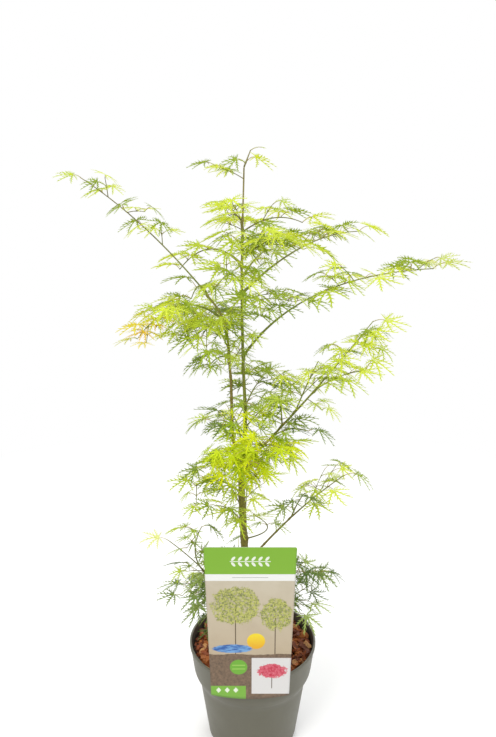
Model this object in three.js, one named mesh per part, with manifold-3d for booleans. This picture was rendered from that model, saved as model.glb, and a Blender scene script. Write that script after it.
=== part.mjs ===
// A potted Japanese maple of the finely cut, lace-leaved kind: a young nursery plant in a grey plastic pot.
// A short trunk with a root flare runs up as a slim leader, and a second stem parts from it low down. Long
// thin boughs arch out of both and carry airy masses of leaves, each leaf a hand of narrow pointed lobes.
// Bark mulch covers the compost, and a printed card with a peg hangs over the front of the rim.
// Units are millimetres, +Z is up, -Y is the front, and the origin is the middle of the pot's flat underside.

import * as THREE from 'three';
import { mergeVertices } from 'three/addons/utils/BufferGeometryUtils.js';
import Module from 'manifold-3d';

const wasm = await Module();
wasm.setup();

// ---- Driving dimensions ----

const GAP = 0.3; // clear space between neighbouring pieces
const UP = new THREE.Vector3(0, 0, 1);
const AWAY = new THREE.Vector3(0, 1, 0);
const UPRIGHT = 0.86; // a direction with more rise than this counts as upright

const POT_HEIGHT = 160;
const RIM_RADIUS = 95;
const COLLAR_RADIUS = 88.6; // at the collar's foot
const COLLAR_FOOT_Z = 112;
const COLLAR_CURL = [2.6, 8]; // how far in and down the collar's rounded foot turns
const WAIST_RADIUS = 80;
const WAIST_Z = 92;
const FOOT_RADIUS = 67.5;
const WALL = 1.8;
const FLOOR = 2.4;
const LIP_DEPTH = 5;
const LIP_STEP = 1.2; // how far the lip stands out of the collar
const POT_SIDES = 26;
const FOOT_ROUND = [2, 3]; // how far in and up the foot's edge is cut
const DRAIN_HOLES = 6;
const DRAIN_RADIUS = 5;
const DRAIN_RING = 50;

const SOIL_Z = 145; // the level of the compost, and the ground for the trunk
const CHIPS = 12;
const CHIP_SIZE = [15, 9, 5];
const CHIP_VARIETY = [0.75, 1.25];
const CHIP_TILT = [-0.25, 0.25]; // radians
const CHIP_RINGS = [26, 75]; // the chips lie between these radii
const GOLDEN_ANGLE = 2.4;

const CARD_TOP_WIDTH = 123;
const CARD_FOOT_WIDTH = 109;
const CARD_TOP_Z = 370;
const CARD_SIDE_Z = 138; // where the straight sides end and the curved foot begins
const CARD_SAG = 7; // how far the curved foot dips in the middle
const CARD_THICKNESS = 0.8;
const CARD_MIDDLE_X = -4; // the card hangs a little to the left of the pot's middle
const BRIDGE_THICKNESS = 1.2; // of the strip that carries the peg over the rim
const PEG_WIDTH = 28;
const PEG_FOOT_Z = 118;
const PEG_RISE = 2.7; // above the rim
const PEG_INSET = 2; // from the pot's inner wall, so that the flat peg clears its curve

const TRUNK_FOOT_RADIUS = 6.2;
const TRUNK_FORK_RADIUS = 4.6;
const LEADER_RADIUS = 3.1;
const LEADER_TIP_RADIUS = 1;
const ROOT_FLARE = 3.4; // extra radius at ground level
const FLARE_HEIGHT = 14;
const FORK_Z = 437;
const FORK_BLEND = 30; // the height over which the trunk slims to the leader

const SECOND_STEM_RADIUS = 2.9;
const SECOND_STEM_TIP_RADIUS = 1.5;
const BOUGH_RADIUS = 2.1;
const BOUGH_TIP_RADIUS = 1.25;
const TWIG_RADIUS = 1.1;
const TWIG_TIP_RADIUS = 0.6;
const STALK_RADIUS = 0.62;
const TRUNK_FACETS = [8, 18]; // sides round a limb, and steps along it
const STEM_FACETS = [6, 9];
const BOUGH_FACETS = [6, 5];

const LEAF_THICKNESS = 0.034; // at the hub, as a share of the leaf's length
const SLIVER = 0.08; // faces smaller than this are merged into their neighbours
const LEAF_CLEARANCE = 0.9; // least space between leaves
const RIM_ROOM = 14; // no leaf hangs lower than this above the rim, save beside the trunk
const TRUNK_ROOM = 20;
const RODS_PER_LIMB = 12; // straight pieces that stand for a bent limb
const CARD_ROOM = 6; // least space between a leaf and the card
const SEED = 20117;

// The lobes of one leaf: the angle from the leaf's own axis, and the length as a share of the middle lobe's.
const LOBES = [
  { turn: -112, reach: 0.5 },
  { turn: -73, reach: 0.76 },
  { turn: -36, reach: 0.93 },
  { turn: 0, reach: 1 },
  { turn: 36, reach: 0.93 },
  { turn: 73, reach: 0.76 },
  { turn: 112, reach: 0.5 },
];
const SINUS_REACH = 0.19; // the notch between two lobes
const LOBE_ROD = 0.05; // the radius that a lobe keeps clear, as a share of the leaf

// How a leaf stands on its twig: each pair is the least and the greatest value.
const STALK_TURN = [-0.25, 0.25]; // radians, from the heading
const STALK_LIFT = [0.05, 0.6]; // slope of the stalk
const STALK_LENGTH = [0.38, 0.6]; // as a share of the leaf
const LEAF_PITCH = [-0.6, 0.12]; // slope of the middle lobe
const LEAF_ROLL = [-0.55, 0.55];
const LEAF_DROOP = [0.1, 0.28]; // how far the middle lobe's tip sinks, as a share of the leaf
const LEAF_VARIETY = [0.9, 1.1];
const LEAF_TRIES = 12;
const MORE_SPREAD = 0.3; // each further try turns and lifts the stalk by so much more

const FORWARD = 0.55; // how far a pair leans to the tip of its twig
const ROOT_STEP = 0.9; // the two stalks of a pair are rooted this far before and behind its middle
const FIRST_PAIR = 0.35; // of the space between two pairs
const OUTER_PAIR_LOSS = 0.12; // leaves get smaller towards the tip
const TIP_LEAF = 0.9; // the leaf at the tip, as a share of the others
const TIP_ROOT = 0.995; // where on the twig it is rooted
const TIP_LEAF_REACH = 1.3; // how far it reaches past its twig
const LEAST_TWIG = 0.45; // of the way to the reach

// The two stems, as points that their bark follows.
const TRUNK_LINE = [
  [0, 0, 138], [-2, 0, 165], [-13, 3, 330], [-16, 1, FORK_Z], [-11, -1, 505],
  [-14, 1, 610], [-15, 0, 720], [-12, 0, 848],
];
const SECOND_STEM_LINE = [
  [-15, 0, 428], [-27, 1, 480], [-31, 0, 580], [-40, 0, 654], [-71, 0, 700],
];

// One limb. It leaves a stem at a height, or a bough at a share of its length, and its leaves end at the
// reach. bow is how far its middle stands off the straight line, upwards or as a direction. bough is the
// share of the limb that is a piece of its own, and bare the share of its twig without leaves.
function limb(name, on, at, reach, rest) {
  return { name, on, at, reach, bow: 10, bough: 0, bare: 0.2, pairs: 2, leaf: 38, tint: 'lime', ...rest };
}

const LIMBS = [
  // round the leader
  limb('crown_tip', 'trunk', 'tip', [6, 2, 893], { bow: 0, bare: 0, pairs: 1, leaf: 32 }),
  limb('upper_left', 'trunk', 780, [-52, -8, 800], { bow: 5, bare: 0.1, leaf: 34 }),
  limb('upper_right', 'trunk', 768, [106, 50, 782], { bow: 12, bare: 0.1 }),
  limb('upper_front', 'trunk', 750, [-34, -84, 764], { bow: 6 }),
  limb('upper_back', 'trunk', 757, [-20, 136, 780], { bow: 8 }),
  limb('rising_right', 'trunk', 688, [184, 84, 780], { bow: 20, bough: 0.36, pairs: 3 }),
  limb('heart_right', 'trunk', 737, [80, -48, 764], { bow: 8, bare: 0.1, pairs: 3 }),
  limb('heart_left', 'trunk', 726, [-138, 50, 710], { bow: 24, bough: 0.3, pairs: 3, leaf: 36 }),
  limb('heart_back', 'trunk', 708, [52, 186, 732], { bow: 14, bough: 0.28, pairs: 3, tint: 'green' }),
  limb('heart_front', 'trunk', 700, [-58, -122, 718], { bow: 14, bare: 0.15, pairs: 3 }),
  limb('heart_low_right', 'trunk', 678, [48, -90, 682], { bow: 8, bare: 0.15, pairs: 3, tint: 'green' }),
  limb('right_reach', 'trunk', 602, [262, -50, 748], { bow: [-24, 0, 26], bough: 0.34, pairs: 5 }),
  // on the second stem
  limb('left_reach', 'second_stem', 'tip', [-238, -22, 860], { bow: 10, bare: 0.46, pairs: 3, leaf: 30 }),
  limb('left_gold', 'second_stem', 652, [-172, -62, 652],
    { bow: 26, bough: 0.28, pairs: 4, leaf: 34, tint: 'gold' }),
  limb('left_upper', 'second_stem', 684, [-112, 35, 672], { bow: 16, bare: 0.1, pairs: 2 }),
  limb('left_hang', 'second_stem', 636, [-104, -50, 632], { bow: 16, bare: 0.1, pairs: 3 }),
  limb('left_back', 'second_stem', 612, [-92, 132, 652], { bow: 12, tint: 'green' }),
  limb('left_pair', 'second_stem', 600, [-86, -32, 592], { bow: 6, pairs: 1, leaf: 38, tint: 'green' }),
  limb('left_low_pair', 'second_stem', 503, [-88, -10, 520], { bow: 5, pairs: 1, leaf: 36, tint: 'dark' }),
  // the bright front, and the arching right limb
  limb('front_left', 'trunk', 430, [-46, -124, 526], { bow: 12, pairs: 3, leaf: 36, tint: 'yellow' }),
  limb('front_right', 'trunk', 450, [42, -122, 530], { bow: 12, pairs: 3, leaf: 36, tint: 'yellow' }),
  limb('right_fan', 'trunk', 440, [184, -20, 690], { bow: -6, bough: 0.62 }),
  limb('right_fan_low', 'right_fan', 0.9, [186, -36, 610], { bow: 6, bare: 0.1, pairs: 3 }),
  limb('right_fan_high', 'right_fan', 0.66, [106, 8, 636], { bow: 2 }),
  limb('right_fan_inner', 'right_fan', 0.5, [30, -44, 590], { bare: 0.1, pairs: 3, leaf: 36, tint: 'green' }),
  limb('right_hanging', 'right_fan', 0.36, [104, -58, 524], { bow: 8, pairs: 1, leaf: 34, tint: 'dark' }),
  // the back and the middle
  limb('middle_back', 'trunk', 530, [36, 148, 544], { bow: 12, pairs: 3, tint: 'green' }),
  limb('middle_back_left', 'trunk', 470, [-44, 132, 500], { bow: 12, tint: 'green' }),
  limb('middle_right', 'trunk', 500, [86, 96, 540], { tint: 'dark' }),
  // low limbs
  limb('low_right', 'trunk', 284, [158, 0, 458], { bough: 0.56, leaf: 35 }),
  limb('low_right_dark', 'low_right', 0.9, [82, -46, 448], { bow: 4, leaf: 34, tint: 'dark' }),
  limb('low_left_upper', 'trunk', 398, [-110, -62, 448], { bow: 14, bare: 0.25, pairs: 3, leaf: 35 }),
  limb('low_left_middle', 'trunk', 352, [-74, -50, 422], { bow: 8, leaf: 33 }),
  limb('low_left', 'trunk', 232, [-90, -22, 390],
    { bow: [-36, 0, -10], bough: 0.5, pairs: 1, leaf: 32, tint: 'green' }),
  limb('low_left_pale', 'low_left', 0.7, [-142, -30, 366], { bow: 3, pairs: 1, leaf: 32, tint: 'pale' }),
  limb('low_back', 'trunk', 318, [-6, 140, 392], { bow: 12, tint: 'green' }),
  limb('low_back_left', 'trunk', 372, [-84, 104, 430], { bow: 12, tint: 'dark' }),
  limb('bent_shoot', 'trunk', 326, [14, -30, 398], { bow: [24, -4, 0], bare: 0.6, pairs: 1, leaf: 24 }),
  limb('skirt_left', 'trunk', 214, [-124, -46, 298], { bow: 16, bough: 0.36, pairs: 3, tint: 'dark' }),
  limb('skirt_left_low', 'trunk', 198, [-94, -56, 258], { bow: 14, tint: 'dark' }),
  limb('skirt_right', 'trunk', 224, [116, -24, 306],
    { bow: 16, bough: 0.36, pairs: 3, leaf: 36, tint: 'dark' }),
  limb('skirt_right_low', 'trunk', 206, [106, -50, 266], { bow: 14, leaf: 36, tint: 'dark' }),
  limb('skirt_back', 'trunk', 208, [-30, 132, 284], { bow: 16, tint: 'dark' }),
  limb('skirt_front', 'trunk', 262, [-44, -58, 344], { bow: 8, leaf: 34, tint: 'dark' }),
];

const PAINT = {
  pot: new THREE.MeshStandardMaterial({ color: 0x75746a, roughness: 0.55 }),
  mulch: new THREE.MeshStandardMaterial({ color: 0x6b4326, roughness: 0.95 }),
  bark: new THREE.MeshStandardMaterial({ color: 0x7c7b3c, roughness: 0.7 }),
  card: new THREE.MeshStandardMaterial({ color: 0x8cbc3c, roughness: 0.35 }),
  lime: new THREE.MeshStandardMaterial({ color: 0x9cba2e, roughness: 0.5 }),
  yellow: new THREE.MeshStandardMaterial({ color: 0xc2d41a, roughness: 0.5 }),
  gold: new THREE.MeshStandardMaterial({ color: 0xc9c832, roughness: 0.5 }),
  pale: new THREE.MeshStandardMaterial({ color: 0xc3cf82, roughness: 0.5 }),
  green: new THREE.MeshStandardMaterial({ color: 0x7ea02c, roughness: 0.5 }),
  dark: new THREE.MeshStandardMaterial({ color: 0x5f7a3a, roughness: 0.5 }),
};

// ---- Small helpers ----

const vector = (xyz) => new THREE.Vector3(...xyz);
const radians = THREE.MathUtils.degToRad;
const mix = THREE.MathUtils.lerp;

const pick = (roll, [least, greatest]) => mix(least, greatest, roll());

// A repeatable run of numbers from 0 to 1.
function dice(seed) {
  let state = seed;
  return () => {
    state = (state * 16807) % 2147483647;
    return state / 2147483647;
  };
}

// A three.js geometry as a solid that can be joined and cut.
function toSolid(geometry) {
  const bare = new THREE.BufferGeometry();
  bare.setAttribute('position', geometry.getAttribute('position'));
  bare.setIndex(geometry.index);
  const merged = mergeVertices(bare, 1e-4);
  const kept = [];
  const corners = merged.index.array;
  for (let i = 0; i < corners.length; i += 3) {
    const [a, b, c] = [corners[i], corners[i + 1], corners[i + 2]];
    if (a !== b && b !== c && c !== a) kept.push(a, b, c);
  }
  const build = (triangles) => new wasm.Manifold(new wasm.Mesh({
    numProp: 3,
    vertProperties: merged.attributes.position.array,
    triVerts: new Uint32Array(triangles),
  }));
  const solid = build(kept);
  return solid.volume() > 0 ? solid : build(kept.reverse());
}

// The solid as a three.js geometry. Only its largest body is kept, which drops scraps and fills hollows.
function toGeometry(solid) {
  const bodies = solid.simplify(SLIVER).decompose().sort((a, b) => b.volume() - a.volume());
  const mesh = bodies[0].getMesh();
  const geometry = new THREE.BufferGeometry();
  geometry.setAttribute('position', new THREE.BufferAttribute(mesh.vertProperties, 3));
  geometry.setIndex(new THREE.BufferAttribute(mesh.triVerts, 1));
  geometry.computeVertexNormals();
  return geometry;
}

const plant = new THREE.Group();
plant.name = 'potted_japanese_maple';

function addPiece(name, solid, paint) {
  const mesh = new THREE.Mesh(toGeometry(solid), PAINT[paint]);
  mesh.name = name;
  plant.add(mesh);
}

// ---- The pot, what fills it and the card ----

// A solid turned about +Z from a closed profile of [radius, height] points.
function turned(profile, sides = POT_SIDES) {
  const points = [...profile, profile[0]].map(([radius, height]) => new THREE.Vector2(radius, height));
  return toSolid(new THREE.LatheGeometry(points, sides).rotateX(Math.PI / 2));
}

function potSolid() {
  const outside = [
    [0, 0], [FOOT_RADIUS - FOOT_ROUND[0], 0], [FOOT_RADIUS, FOOT_ROUND[1]], [WAIST_RADIUS, WAIST_Z],
    [COLLAR_RADIUS - COLLAR_CURL[0], COLLAR_FOOT_Z - COLLAR_CURL[1]],
    [COLLAR_RADIUS, COLLAR_FOOT_Z], [RIM_RADIUS - LIP_STEP, POT_HEIGHT - LIP_DEPTH],
    [RIM_RADIUS, POT_HEIGHT - LIP_DEPTH], [RIM_RADIUS, POT_HEIGHT],
  ];
  const inside = [
    [RIM_RADIUS - LIP_STEP - WALL, POT_HEIGHT], [COLLAR_RADIUS - WALL, COLLAR_FOOT_Z],
    [WAIST_RADIUS - WALL, WAIST_Z], [FOOT_RADIUS - WALL, FLOOR], [0, FLOOR],
  ];
  let pot = turned([...outside, ...inside]);
  for (let i = 0; i < DRAIN_HOLES; i++) {
    const angle = (i / DRAIN_HOLES) * 2 * Math.PI;
    const drill = new THREE.CylinderGeometry(DRAIN_RADIUS, DRAIN_RADIUS, FLOOR * 4, 10);
    drill.rotateX(Math.PI / 2);
    drill.translate(DRAIN_RING * Math.cos(angle), DRAIN_RING * Math.sin(angle), 0);
    pot = pot.subtract(toSolid(drill));
  }
  return pot;
}

// The compost is a plug that fills the pot, with chips of bark sunk into its top.
function mulchSolid() {
  const inset = WALL + GAP;
  const slope = (RIM_RADIUS - LIP_STEP - COLLAR_RADIUS) / (POT_HEIGHT - COLLAR_FOOT_Z);
  const topRadius = COLLAR_RADIUS - inset + slope * (SOIL_Z - COLLAR_FOOT_Z);
  let mulch = turned([
    [0, FLOOR + GAP], [FOOT_RADIUS - inset, FLOOR + GAP], [WAIST_RADIUS - inset, WAIST_Z],
    [COLLAR_RADIUS - inset, COLLAR_FOOT_Z], [topRadius, SOIL_Z], [0, SOIL_Z],
  ]);
  const roll = dice(SEED);
  for (let i = 0; i < CHIPS; i++) {
    const ring = mix(...CHIP_RINGS, Math.sqrt((i + 0.5) / CHIPS));
    const angle = i * GOLDEN_ANGLE;
    const chip = new THREE.BoxGeometry(...CHIP_SIZE.map((side) => side * pick(roll, CHIP_VARIETY)));
    chip.rotateX(pick(roll, CHIP_TILT)).rotateY(pick(roll, CHIP_TILT)).rotateZ(Math.PI * roll());
    chip.translate(ring * Math.cos(angle), ring * Math.sin(angle), SOIL_Z);
    mulch = mulch.add(toSolid(chip));
  }
  return mulch;
}

// A box between two corners.
function boxBetween(low, high) {
  const size = vector(high).sub(vector(low));
  const middle = vector(high).add(vector(low)).multiplyScalar(0.5);
  return toSolid(new THREE.BoxGeometry(...size).translate(...middle));
}

// A flat card in front of the rim. A peg cut from it passes over the rim and down inside into the mulch.
// The peg can be grown, to cut its slot.
function cardSolid(grow = 0) {
  const back = -RIM_RADIUS - GAP;
  const arc = new THREE.Shape();
  arc.moveTo(-CARD_TOP_WIDTH / 2, CARD_TOP_Z);
  arc.lineTo(-CARD_FOOT_WIDTH / 2, CARD_SIDE_Z);
  arc.quadraticCurveTo(0, CARD_SIDE_Z - 2 * CARD_SAG, CARD_FOOT_WIDTH / 2, CARD_SIDE_Z);
  arc.lineTo(CARD_TOP_WIDTH / 2, CARD_TOP_Z);
  const settings = { depth: CARD_THICKNESS, bevelEnabled: false, curveSegments: 8 };
  const card = new THREE.ExtrudeGeometry(arc, settings);
  card.rotateX(Math.PI / 2).translate(0, back, 0);
  const half = PEG_WIDTH / 2 + grow;
  const pegTop = POT_HEIGHT + PEG_RISE;
  const pegFront = -COLLAR_RADIUS + WALL + PEG_INSET;
  const pegBack = pegFront + CARD_THICKNESS;
  const peg = boxBetween([-half, pegFront - grow, PEG_FOOT_Z - grow], [half, pegBack + grow, pegTop]);
  const bridgeFront = back - CARD_THICKNESS / 2;
  const bridge = boxBetween([-half, bridgeFront, pegTop - BRIDGE_THICKNESS], [half, pegBack, pegTop]);
  return toSolid(card).add(bridge).add(peg).translate([CARD_MIDDLE_X, 0, 0]);
}

// ---- Limbs ----

// The line of a limb: a smooth bend from its foot to its tip, whose middle stands off by the bow.
function bentLine(foot, tip, bow) {
  const push = Array.isArray(bow) ? vector(bow) : new THREE.Vector3(0, 0, bow);
  const middle = foot.clone().add(tip).multiplyScalar(0.5).addScaledVector(push, 2);
  return new THREE.QuadraticBezierCurve3(foot, middle, tip);
}

// A round tapering limb: a cylinder whose rings are set square to the line between two shares of its length.
function limbSolid(line, [from, to], radiusAt, [sides, steps]) {
  const geometry = new THREE.CylinderGeometry(1, 1, 1, sides, steps);
  const position = geometry.getAttribute('position');
  const upright = Math.abs(line.getTangentAt((from + to) / 2).z) > UPRIGHT;
  const reference = upright ? AWAY : UP;
  for (let i = 0; i < position.count; i++) {
    const share = from + (to - from) * (position.getY(i) + 0.5);
    const along = line.getTangentAt(share);
    const side = along.clone().cross(reference).normalize();
    const over = side.clone().cross(along);
    const radius = radiusAt(share);
    const point = line.getPointAt(share);
    point.addScaledVector(side, position.getX(i) * radius).addScaledVector(over, position.getZ(i) * radius);
    position.setXYZ(i, ...point);
  }
  return toSolid(geometry);
}

const trunkLine = new THREE.CatmullRomCurve3(TRUNK_LINE.map(vector), false, 'centripetal');
const secondLine = new THREE.CatmullRomCurve3(SECOND_STEM_LINE.map(vector), false, 'centripetal');

// The trunk tapers to the fork, is slimmer as the leader above it, and flares at the ground.
function trunkRadius(share) {
  const height = trunkLine.getPointAt(share).z;
  const flare = ROOT_FLARE * Math.exp(-Math.max(0, height - SOIL_Z) / FLARE_HEIGHT);
  if (height < FORK_Z) {
    return mix(TRUNK_FOOT_RADIUS, TRUNK_FORK_RADIUS, (height - SOIL_Z) / (FORK_Z - SOIL_Z)) + flare;
  }
  const shareUp = (height - FORK_Z) / (TRUNK_LINE.at(-1)[2] - FORK_Z);
  const leader = mix(LEADER_RADIUS, LEADER_TIP_RADIUS, shareUp);
  return leader + (TRUNK_FORK_RADIUS - LEADER_RADIUS) * Math.exp(-(height - FORK_Z) / FORK_BLEND);
}

const secondRadius = (share) => mix(SECOND_STEM_RADIUS, SECOND_STEM_TIP_RADIUS, share);

// The share of a stem's length at which it reaches a height.
function shareAtHeight(line, height) {
  let low = 0;
  let high = 1;
  while (high - low > 1e-4) {
    const middle = (low + high) / 2;
    if (line.getPointAt(middle).z < height) low = middle;
    else high = middle;
  }
  return low;
}

// Every bare limb, by name: its line, the share of the line that is bark, and its swollen copy, which cuts
// what grows out of it.
const limbs = {};

function addLimb(name, line, end, radiusAt, facets, cuts) {
  const solid = cuts(limbSolid(line, [0, end], radiusAt, facets));
  const swollen = limbSolid(line, [0, end], (share) => radiusAt(share) + GAP, facets);
  limbs[name] = { line, end, swollen };
  addPiece(name, solid, 'bark');
  remember(name, line, [0, end], radiusAt);
}

// ---- Room between the masses ----

// Everything that stands, as short straight rods with a radius and an owner.
const rods = [];

function remember(owner, line, [from, to], radiusAt) {
  for (let i = 0; i < RODS_PER_LIMB; i++) {
    const a = mix(from, to, i / RODS_PER_LIMB);
    const b = mix(from, to, (i + 1) / RODS_PER_LIMB);
    rods.push({ owner, line: new THREE.Line3(line.getPointAt(a), line.getPointAt(b)), radius: radiusAt(a) });
  }
}

const distanceBetween = (first, second) => Math.sqrt(first.distanceSqToLine3(second));

// Whether a rod keeps clear of the rim, the card, all other leaves and every limb but its own twig.
function hasRoom(rod) {
  for (const end of [rod.line.start, rod.line.end]) {
    if (end.z < POT_HEIGHT + RIM_ROOM && Math.hypot(end.x, end.y) > TRUNK_ROOM) return false;
    const overCard = Math.abs(end.x) < CARD_TOP_WIDTH / 2 + CARD_ROOM && end.z < CARD_TOP_Z + CARD_ROOM;
    if (overCard && end.y < -RIM_RADIUS + CARD_ROOM) return false;
  }
  return rods.every((other) => (other.owner === rod.owner && !(rod.lobe && other.lobe))
    || distanceBetween(rod.line, other.line) > rod.radius + other.radius + LEAF_CLEARANCE);
}

// ---- Leaves ----

// The outline of a leaf, from one side of its stalk round to the other: each lobe and each notch between
// two. Lobes droop towards their tips with the square of the distance from the hub.
function leafOutline(size, droop) {
  const outline = [];
  const put = (turn, reach) => {
    const angle = radians(turn);
    const sink = -droop * reach * reach * size;
    outline.push(new THREE.Vector3(reach * size * Math.cos(angle), reach * size * Math.sin(angle), sink));
  };
  outline.push(new THREE.Vector3(-STALK_RADIUS, -STALK_RADIUS, 0));
  LOBES.forEach((lobe, i) => {
    if (i > 0) put((LOBES[i - 1].turn + lobe.turn) / 2, SINUS_REACH);
    put(lobe.turn, lobe.reach);
  });
  outline.push(new THREE.Vector3(-STALK_RADIUS, STALK_RADIUS, 0));
  return outline;
}

// One leaf and its stalk. The outline is joined to a point above and a point below the hub, so that the leaf
// thins out to its edge, and a three-sided stalk runs from the back of the hub to its root in the twig.
function leafSolid(frame, size, droop, root) {
  const rise = (LEAF_THICKNESS * size) / 2;
  const outline = leafOutline(size, droop);
  const last = outline.length - 1;
  const hubRing = [new THREE.Vector3(0, 0, rise), outline[last], new THREE.Vector3(0, 0, -rise), outline[0]];
  const back = root.clone().applyMatrix4(frame.clone().invert());
  const rootRing = [0, 120, 240].map(radians).map((turn) => new THREE.Vector3(
    back.x, back.y + STALK_RADIUS * Math.sin(turn), back.z + STALK_RADIUS * Math.cos(turn)));
  const faces = [];
  const put = (...corners) => corners.forEach((corner) => faces.push(...corner));
  for (let i = 0; i < last; i++) {
    put(hubRing[0], outline[i], outline[i + 1]);
    put(hubRing[2], outline[i + 1], outline[i]);
  }
  const [top, left, below, right] = hubRing;
  const [rootTop, rootLeft, rootRight] = rootRing;
  put(top, left, rootLeft);
  put(top, rootLeft, rootTop);
  put(left, below, rootLeft);
  put(below, rootRight, rootLeft);
  put(below, right, rootRight);
  put(right, top, rootTop);
  put(right, rootTop, rootRight);
  put(rootTop, rootLeft, rootRight);
  const geometry = new THREE.BufferGeometry();
  geometry.setAttribute('position', new THREE.Float32BufferAttribute(faces, 3));
  return toSolid(geometry.applyMatrix4(frame));
}

// The rods of a leaf, one for each lobe and one for its stalk.
function leafRods(owner, frame, size, droop, root) {
  const hub = new THREE.Vector3().setFromMatrixPosition(frame);
  const found = LOBES.map((lobe) => {
    const angle = radians(lobe.turn);
    const tip = new THREE.Vector3(Math.cos(angle), Math.sin(angle), -droop * lobe.reach);
    tip.multiplyScalar(lobe.reach * size).applyMatrix4(frame);
    return { owner, line: new THREE.Line3(hub, tip), radius: size * LOBE_ROD, lobe: true };
  });
  found.push({ owner, line: new THREE.Line3(root, hub), radius: STALK_RADIUS });
  return found;
}

// The frame of a leaf whose stalk leaves a node in a heading: the ways along, across and over it, at its hub.
function leafFrame(node, heading, size, slack, roll) {
  const way = heading.clone().setZ(0).normalize().applyAxisAngle(UP, pick(roll, STALK_TURN) * slack);
  way.setZ(pick(roll, STALK_LIFT) * slack).normalize();
  const hub = node.clone().addScaledVector(way, size * pick(roll, STALK_LENGTH));
  const ahead = way.setZ(pick(roll, LEAF_PITCH)).normalize();
  const across = UP.clone().cross(ahead).normalize();
  across.addScaledVector(UP, pick(roll, LEAF_ROLL)).normalize();
  const over = ahead.clone().cross(across).normalize();
  across.copy(over).cross(ahead);
  return new THREE.Matrix4().makeBasis(ahead, across, over).setPosition(hub);
}

// A leaf on its stalk, turned a little further at each try until it finds room, or left out.
function growLeaf(owner, node, heading, size, roll) {
  for (let tries = 0; tries < LEAF_TRIES; tries++) {
    const frame = leafFrame(node, heading, size, 1 + MORE_SPREAD * tries, roll);
    const droop = pick(roll, LEAF_DROOP);
    const own = leafRods(owner, frame, size, droop, node);
    if (own.every(hasRoom)) {
      rods.push(...own);
      return [leafSolid(frame, size, droop, node)];
    }
  }
  return [];
}

// ---- Masses: one twig with pairs of leaves, and a leaf at its end ----

// The level direction square to the twig. On an upright twig each pair is turned square to the last.
function sideways(along, index) {
  if (Math.abs(along.z) < UPRIGHT) return along.clone().cross(UP).normalize();
  const turn = (index % 2) * Math.PI / 2;
  return new THREE.Vector3(Math.cos(turn), Math.sin(turn), 0);
}

function growMass(limb, line, from, twigRadius, roll) {
  const owner = `${limb.name}_leaves`;
  const solids = [limbSolid(line, [from, 1], twigRadius, [3, 2 + limb.pairs])];
  const leafy = mix(from, 1, limb.bare);
  for (let pair = 0; pair < limb.pairs; pair++) {
    const share = mix(leafy, 1, (pair + FIRST_PAIR) / (limb.pairs + FIRST_PAIR));
    const along = line.getTangentAt(share);
    const side = sideways(along, pair);
    const size = limb.leaf * (1 - OUTER_PAIR_LOSS * pair / limb.pairs);
    for (const hand of [-1, 1]) {
      const node = line.getPointAt(share).addScaledVector(along, hand * ROOT_STEP);
      const heading = side.clone().multiplyScalar(hand).addScaledVector(along, FORWARD);
      solids.push(...growLeaf(owner, node, heading, size * pick(roll, LEAF_VARIETY), roll));
    }
  }
  const outward = line.getTangentAt(1);
  if (outward.z > UPRIGHT) outward.set(1, -0.3, 0);
  solids.push(...growLeaf(owner, line.getPointAt(TIP_ROOT), outward, limb.leaf * TIP_LEAF, roll));
  return wasm.Manifold.union(solids);
}

// Where a limb's foot sits on what carries it.
function footOf(limb, parent) {
  if (limb.at === 'tip') {
    return parent.line.getPointAt(parent.end).addScaledVector(parent.line.getTangentAt(parent.end), GAP);
  }
  const onStem = limb.on === 'trunk' || limb.on === 'second_stem';
  return parent.line.getPointAt(onStem ? shareAtHeight(parent.line, limb.at) : limb.at * parent.end);
}

// The line of a limb, which stops short of its reach by what its last leaf adds.
function limbLine(limb, parent) {
  const foot = footOf(limb, parent);
  const whole = vector(limb.reach).sub(foot);
  const share = Math.max(1 - TIP_LEAF_REACH * limb.leaf * TIP_LEAF / whole.length(), LEAST_TWIG);
  return bentLine(foot, foot.clone().addScaledVector(whole, share), limb.bow);
}

// Sets up one limb, with its bough if it has one, and returns the function that grows its mass.
function growLimb(limb, index) {
  const parent = limbs[limb.on];
  const line = limbLine(limb, parent);
  const cut = (solid) => (limb.at === 'tip' ? solid : solid.subtract(parent.swollen));
  let from = 0;
  if (limb.bough) {
    const radiusAt = (share) => mix(BOUGH_RADIUS, BOUGH_TIP_RADIUS, share / limb.bough);
    addLimb(limb.name, line, limb.bough, radiusAt, BOUGH_FACETS, cut);
    from = limb.bough + GAP / line.getLength();
  }
  const twigRadius = (share) => mix(TWIG_RADIUS, TWIG_TIP_RADIUS, (share - from) / (1 - from));
  remember(`${limb.name}_leaves`, line, [from, 1], twigRadius);
  return () => {
    const mass = growMass(limb, line, from, twigRadius, dice(SEED + 97 * (index + 1)));
    addPiece(`${limb.name}_leaves`, limb.bough ? mass : cut(mass), limb.tint);
  };
}

// ---- The whole plant ----

addPiece('pot', potSolid(), 'pot');
addPiece('mulch', mulchSolid().subtract(cardSolid(GAP)), 'mulch');
addPiece('card', cardSolid(), 'card');

const atGround = (solid) => solid.trimByPlane([0, 0, 1], SOIL_Z + GAP);
addLimb('trunk', trunkLine, 1, trunkRadius, TRUNK_FACETS, atGround);
const offTrunk = (solid) => solid.subtract(limbs.trunk.swollen);
addLimb('second_stem', secondLine, 1, secondRadius, STEM_FACETS, offTrunk);

// Boughs and twigs come first, so that every leaf grows clear of all of them.
LIMBS.map(growLimb).forEach((growLeaves) => growLeaves());

export default plant;
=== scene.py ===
# %% [markdown]
# # A lace-leaved Japanese maple in its nursery pot
# This lesson dresses a young maple: slim olive stems, arching twigs, and several hundred leaves that are cut
# into narrow toothed lobes, over a grey plastic pot filled with bark chips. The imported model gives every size
# and place. Each piece below is worked out as arrays of numbers, turned into a mesh, and given a finish.

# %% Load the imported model
import math

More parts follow.
